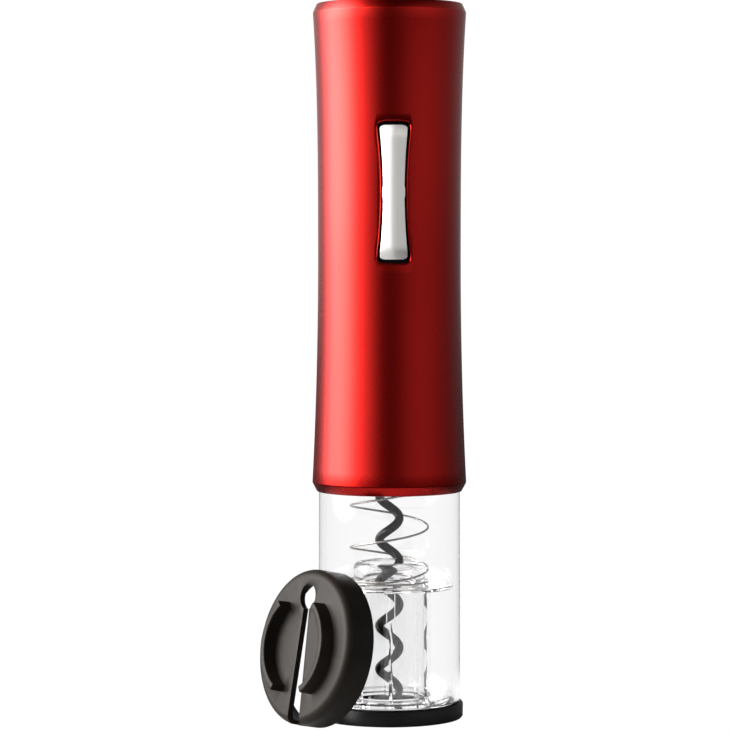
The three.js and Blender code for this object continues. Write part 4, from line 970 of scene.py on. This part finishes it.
# ------------------------------------------------------------------ worm
# Carbon steel rod wound right-handed, ground to a point at the tip and coated black so that it
# slides through cork. The coating is a little grainy and worn brown where it turns.

worm_low, worm_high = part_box("worm")
WORM_WIRE = 0.0015  # the rod's radius
HELIX_R = 0.00335
WORM_PITCH = 0.0146
WORM_TURN = radians(-55)
SHANK_Z, SHANK_BEND = 0.075, 0.006  # where the rod starts to come in to the axis, over what height
POINT_LENGTH = 0.0045
POINT_SHARE = 0.12  # what is left of the rod's radius at the tip
WORM_STEPS = 300
worm_start = worm_low.z + WORM_WIRE
tip_z = worm_low.z + 0.0004
worm_points, worm_widths = [], []
for i in range(WORM_STEPS + 1):
    z = tip_z + (worm_high.z - tip_z) * i / WORM_STEPS
    fade = min(max((z - SHANK_Z) / SHANK_BEND, 0), 1)
    fade = fade * fade * (3 - 2 * fade)
    angle = WORM_TURN + 2 * pi * (z - worm_start) / WORM_PITCH
    radius = HELIX_R * (1 - fade)
    worm_points.append((axis_x + radius * cos(angle), axis_y + radius * sin(angle), z))
    ground = min(max((z - tip_z) / POINT_LENGTH, 0), 1)
    worm_widths.append(POINT_SHARE + (1 - POINT_SHARE) * sin(ground * pi / 2))
worm = round_wire("worm_rod", worm_points, WORM_WIRE, 4, worm_widths)
black_coating = finish_material(
    "black_coating", (0.002, 0.0016, 0.0013), (0.006, 0.0045, 0.0035), 0.0, (0.3, 0.5),
    grain=1400, mottle=500, bump=0.00003, wear=0.1, worn_shade=(0.10, 0.08, 0.06),
    Specular_IOR_Level=0.12, Specular_Tint=(1.0, 0.94, 0.88, 1),
)
worm.data.materials.append(black_coating)
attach(worm, "worm_drive")
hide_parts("worm")

# ------------------------------------------------------------------ foil cutter body
# One moulding in matt charcoal polypropylene: a shallow cap that springs open along its slot. Two
# raised arcs are squeezed to close its wheels round the bottle's neck.

wheel_joints = [j for j in frame["joints"] if j["name"].startswith("cutter_wheel")]
wheel_joints.sort(key=lambda j: j["name"])
wheel_axes = [Vector(j["pos_m"]) for j in wheel_joints]
face_out = Vector(wheel_joints[0]["axis"]).normalized()
slot_end = (wheel_axes[0] + wheel_axes[1]) / 2
hole_end = (wheel_axes[2] + wheel_axes[3]) / 2
up_face = (hole_end - slot_end).normalized()
across = up_face.cross(face_out).normalized()
WHEEL_DEPTH = 0.00855  # of the wheels' middles, behind the cap's face
face_centre = (slot_end + hole_end) / 2 + face_out * WHEEL_DEPTH
cutter_turn = Matrix((across, up_face, face_out)).transposed().to_4x4()
cutter_place = Matrix.Translation(face_centre) @ cutter_turn
CUTTER_R = 0.0258
CUTTER_SKIRT_R = 0.0244  # inside
CUTTER_DEPTH = 0.0105
SHOULDER = 0.0028

# drawn at the origin with its face up, from the underside of the plate round to the face
cutter_rings = [
    (0.0228, -0.0020),
    (0.0239, -0.0024),
    (CUTTER_SKIRT_R, -0.0036),
    (CUTTER_SKIRT_R, -CUTTER_DEPTH + 0.0002),
    (CUTTER_SKIRT_R + 0.0002, -CUTTER_DEPTH),
    (CUTTER_R - 0.0003, -CUTTER_DEPTH),
    (CUTTER_R, -CUTTER_DEPTH + 0.0003),
    (CUTTER_R, -SHOULDER),
]
for i in range(1, 9):
    angle = radians(90) * i / 8
    cutter_rings.append(
        (CUTTER_R - SHOULDER * (1 - cos(angle)), SHOULDER * (sin(angle) - 1))
    )
cutter_rings.append((0.0090, 0.0))
cutter = turn_up("cutter_cap", cutter_rings, 128, closed=False, centre=(0, 0))


RIDGE_R = 0.0163
RIDGE_WIDE, RIDGE_TALL = 0.0027, 0.0052
RIDGE_ARC = radians(116)


def arc_ridge(middle):
    """A grip ridge: its cross-section drawn at one end of the arc, then spun round the face."""
    bpy.ops.object.select_all(action="DESELECT")
    bpy.ops.mesh.primitive_plane_add(
        size=1, location=(RIDGE_R, 0, 0.0021), rotation=(radians(90), 0, 0)
    )
    ridge = bpy.context.object
    ridge.scale = (RIDGE_WIDE, RIDGE_TALL, 1)
    settle(ridge, "ridge_tool")
    bpy.ops.object.mode_set(mode="EDIT")
    pick(ridge, "VERT", lambda co: co.z > 0.003)
    bpy.ops.transform.resize(value=(0.86, 1, 1), center_override=(0.0162, 0, 0.0042))
    bpy.ops.mesh.bevel(offset=0.0005, segments=4, affect="VERTICES")
    bpy.ops.mesh.select_all(action="SELECT")
    bpy.ops.mesh.spin(steps=44, angle=RIDGE_ARC, center=(0, 0, 0), axis=(0, 0, 1))
    bpy.ops.mesh.select_all(action="SELECT")
    bpy.ops.mesh.remove_doubles(threshold=1e-6)
    bpy.ops.mesh.normals_make_consistent(inside=False)
    bpy.ops.object.mode_set(mode="OBJECT")
    # the spin runs clockwise, so the arc's middle lies half of it before the cross-section
    ridge.rotation_euler.z = middle + RIDGE_ARC / 2
    settle(ridge, "ridge_tool")
    return ridge


for middle in (radians(-3), radians(183)):
    combine(cutter, arc_ridge(middle), "UNION")

# bosses that the wheel pins are pressed into
BOSS_R, BOSS_TALL = 0.0021, 0.0064
for wheel_axis in wheel_axes:
    place = cutter_place.inverted() @ wheel_axis
    bpy.ops.object.select_all(action="DESELECT")
    bpy.ops.mesh.primitive_cylinder_add(
        vertices=32, radius=BOSS_R, depth=BOSS_TALL, location=(place.x, place.y, -0.0047)
    )
    boss = bpy.context.object
    settle(boss, "boss_tool")
    finish_with(boss, "BEVEL", width=0.0002, segments=2, limit_method="ANGLE")
    combine(cutter, boss, "UNION")

# the slot widens from the round hole to the rim
SLOT_WIDTH, SLOT_LENGTH = 0.0028, 0.0434
SLOT_WIDEN = 2.5
KEYHOLE_R = 0.0043
KEYHOLE_UP = 0.0165  # from the face's middle
bpy.ops.object.select_all(action="DESELECT")
bpy.ops.mesh.primitive_cube_add(size=1, location=(0, -0.0052, -0.0016))
slot_tool = bpy.context.object
slot_tool.scale = (SLOT_WIDTH, SLOT_LENGTH, 0.0052)
settle(slot_tool, "slot_tool")
bpy.ops.object.mode_set(mode="EDIT")
pick(slot_tool, "VERT", lambda co: co.y < -0.02)
bpy.ops.transform.resize(value=(SLOT_WIDEN, 1, 1), center_override=(0, -0.0269, 0))
bpy.ops.object.mode_set(mode="OBJECT")
combine(cutter, slot_tool, "DIFFERENCE")
bpy.ops.object.select_all(action="DESELECT")
bpy.ops.mesh.primitive_cylinder_add(
    vertices=48, radius=KEYHOLE_R, depth=0.0062, location=(0, KEYHOLE_UP, -0.0011)
)
hole_tool = bpy.context.object
settle(hole_tool, "hole_tool")
combine(cutter, hole_tool, "DIFFERENCE")
finish_with(cutter, "BEVEL", width=0.0003, segments=2, limit_method="ANGLE",
            angle_limit=radians(50), use_clamp_overlap=True)
cutter.matrix_world = cutter_place
settle(cutter, "cutter_cap")
smooth(cutter, 32)
charcoal = finish_material(
    "charcoal_plastic", (0.004, 0.0032, 0.0025), (0.008, 0.0062, 0.005), 0.0, (0.40, 0.5),
    grain=2200, mottle=90, bump=0.000008, wear=0.1, worn_shade=(0.07, 0.06, 0.05),
    Specular_IOR_Level=0.075, Specular_Tint=(1.0, 0.93, 0.86, 1),
)
cutter.data.materials.append(charcoal)
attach(cutter, "foil_cutter")
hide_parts("cutter_body")

# ------------------------------------------------------------------ cutter wheels and pins
# Four hardened steel discs with ground edges, each loose on a headed pin that is pressed into its
# boss.

wheel_steel = finish_material(
    "wheel_steel", (0.55, 0.55, 0.54), (0.66, 0.66, 0.65), 1.0, (0.18, 0.3),
    grain=2500, mottle=200, bump=0.000003,
)
WHEEL_R = 0.0048
WHEEL_BORE_R = 0.0011
WHEEL_HALF = 0.00035  # half its thickness
EDGE_WIDTH = 0.0012  # of the ground edge
RING_MARK = 0.00028  # height of the floor of the turned ring on its face
PIN_R = 0.0008
PIN_HEAD_R = 0.0017
wheel = turn_up(
    "wheel_disc",
    [
        (WHEEL_BORE_R, -WHEEL_HALF),
        (WHEEL_R - EDGE_WIDTH, -WHEEL_HALF),
        (WHEEL_R - 0.00005, -0.00003),
        (WHEEL_R, 0.0),
        (WHEEL_R - 0.00005, 0.00003),
        (WHEEL_R - EDGE_WIDTH, WHEEL_HALF),
        (0.0026, WHEEL_HALF),
        (0.0024, RING_MARK),
        (0.0020, RING_MARK),
        (0.0018, WHEEL_HALF),
        (WHEEL_BORE_R, WHEEL_HALF),
        (WHEEL_BORE_R, -WHEEL_HALF),
    ],
    64,
    centre=(0, 0),
)
smooth(wheel, 20)
wheel.data.materials.append(wheel_steel)
pin = turn_up(
    "wheel_pin",
    [
        (0.0006, -0.00135),
        (0.0014, -0.00125),
        (PIN_HEAD_R, -0.00095),
        (PIN_HEAD_R, -0.00065),
        (PIN_R, -0.00065),
        (PIN_R, 0.00265),
        (0.0005, 0.00265),
    ],
    32,
    closed=False,
    centre=(0, 0),
)
smooth(pin, 30)
pin.data.materials.append(wheel_steel)
for number, place in enumerate(wheel_axes, 1):
    for pattern, name, node, body in (
        (wheel, f"wheel_disc_{number}", f"cutter_wheel_{number}", f"cutter_wheel_{number}"),
        (pin, f"wheel_pin_{number}", f"cutter_pin_{number}", "foil_cutter"),
    ):
        copy = pattern.copy()
        copy.data = pattern.data.copy()
        scene.collection.objects.link(copy)
        copy.matrix_world = Matrix.Translation(place) @ cutter_turn
        settle(copy, name)
        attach(copy, body)
        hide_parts(node)
bpy.data.objects.remove(wheel)
bpy.data.objects.remove(pin)

# ------------------------------------------------------------------ pieces inside the shell
# The frame, gearbox, motor, switches, cells and contacts keep the shapes they were drawn with, and
# get the finish of what each is made of. So do the plain solids under the pieces modelled above.

inner_finishes = {
    "frame_moulding": finish_material(
        "grained_moulding", (0.02, 0.02, 0.022), (0.035, 0.035, 0.038), 0.0, (0.5, 0.65),
        grain=1600, mottle=80, bump=0.00002,
    ),
    "black_plastic": black_abs,
    "bright_steel": drawn_steel,
    "gear_nylon": finish_material(
        "natural_nylon", (0.68, 0.64, 0.53), (0.78, 0.75, 0.66), 0.0, (0.4, 0.5),
        grain=1200, mottle=150, bump=0.00001, Subsurface_Weight=0.1, Subsurface_Scale=0.001,
    ),
    "gear_steel": finish_material(
        "oiled_gear_steel", (0.28, 0.275, 0.27), (0.42, 0.41, 0.40), 1.0, (0.25, 0.45),
        grain=1500, mottle=200, bump=0.000006,
    ),
    "bronze": finish_material(
        "sintered_bronze", (0.38, 0.22, 0.09), (0.52, 0.33, 0.16), 1.0, (0.35, 0.55),
        grain=2400, mottle=300, bump=0.00001,
    ),
    "ferrite": finish_material(
        "pressed_ferrite", (0.03, 0.03, 0.032), (0.06, 0.06, 0.062), 0.1, (0.6, 0.8),
        grain=1500, mottle=200, bump=0.00002,
    ),
    "board": finish_material(
        "solder_mask", (0.008, 0.10, 0.04), (0.015, 0.16, 0.07), 0.0, (0.25, 0.4),
        grain=900, mottle=250, bump=0.00001,
    ),
    "cell_sleeve": finish_material(
        "printed_film", (0.03, 0.05, 0.09), (0.05, 0.08, 0.13), 0.3, (0.2, 0.32),
        grain=800, mottle=60, bump=0.000008,
    ),
    "rocker_silver": silver_plate,
    "cutter_plastic": charcoal,
    "shell_red": red_lacquer,
    "clear_plastic": clear_tube_plastic,
    "black_coating": black_coating,
}
for subpart in frame["record"]["subparts"]:
    node = frame["nodes"][subpart["node"]]
    finish_of_node = inner_finishes[subpart["material_slot"]]
    if not node.material_slots:
        node.data.materials.append(finish_of_node)
    for material_slot in node.material_slots:
        material_slot.material = finish_of_node
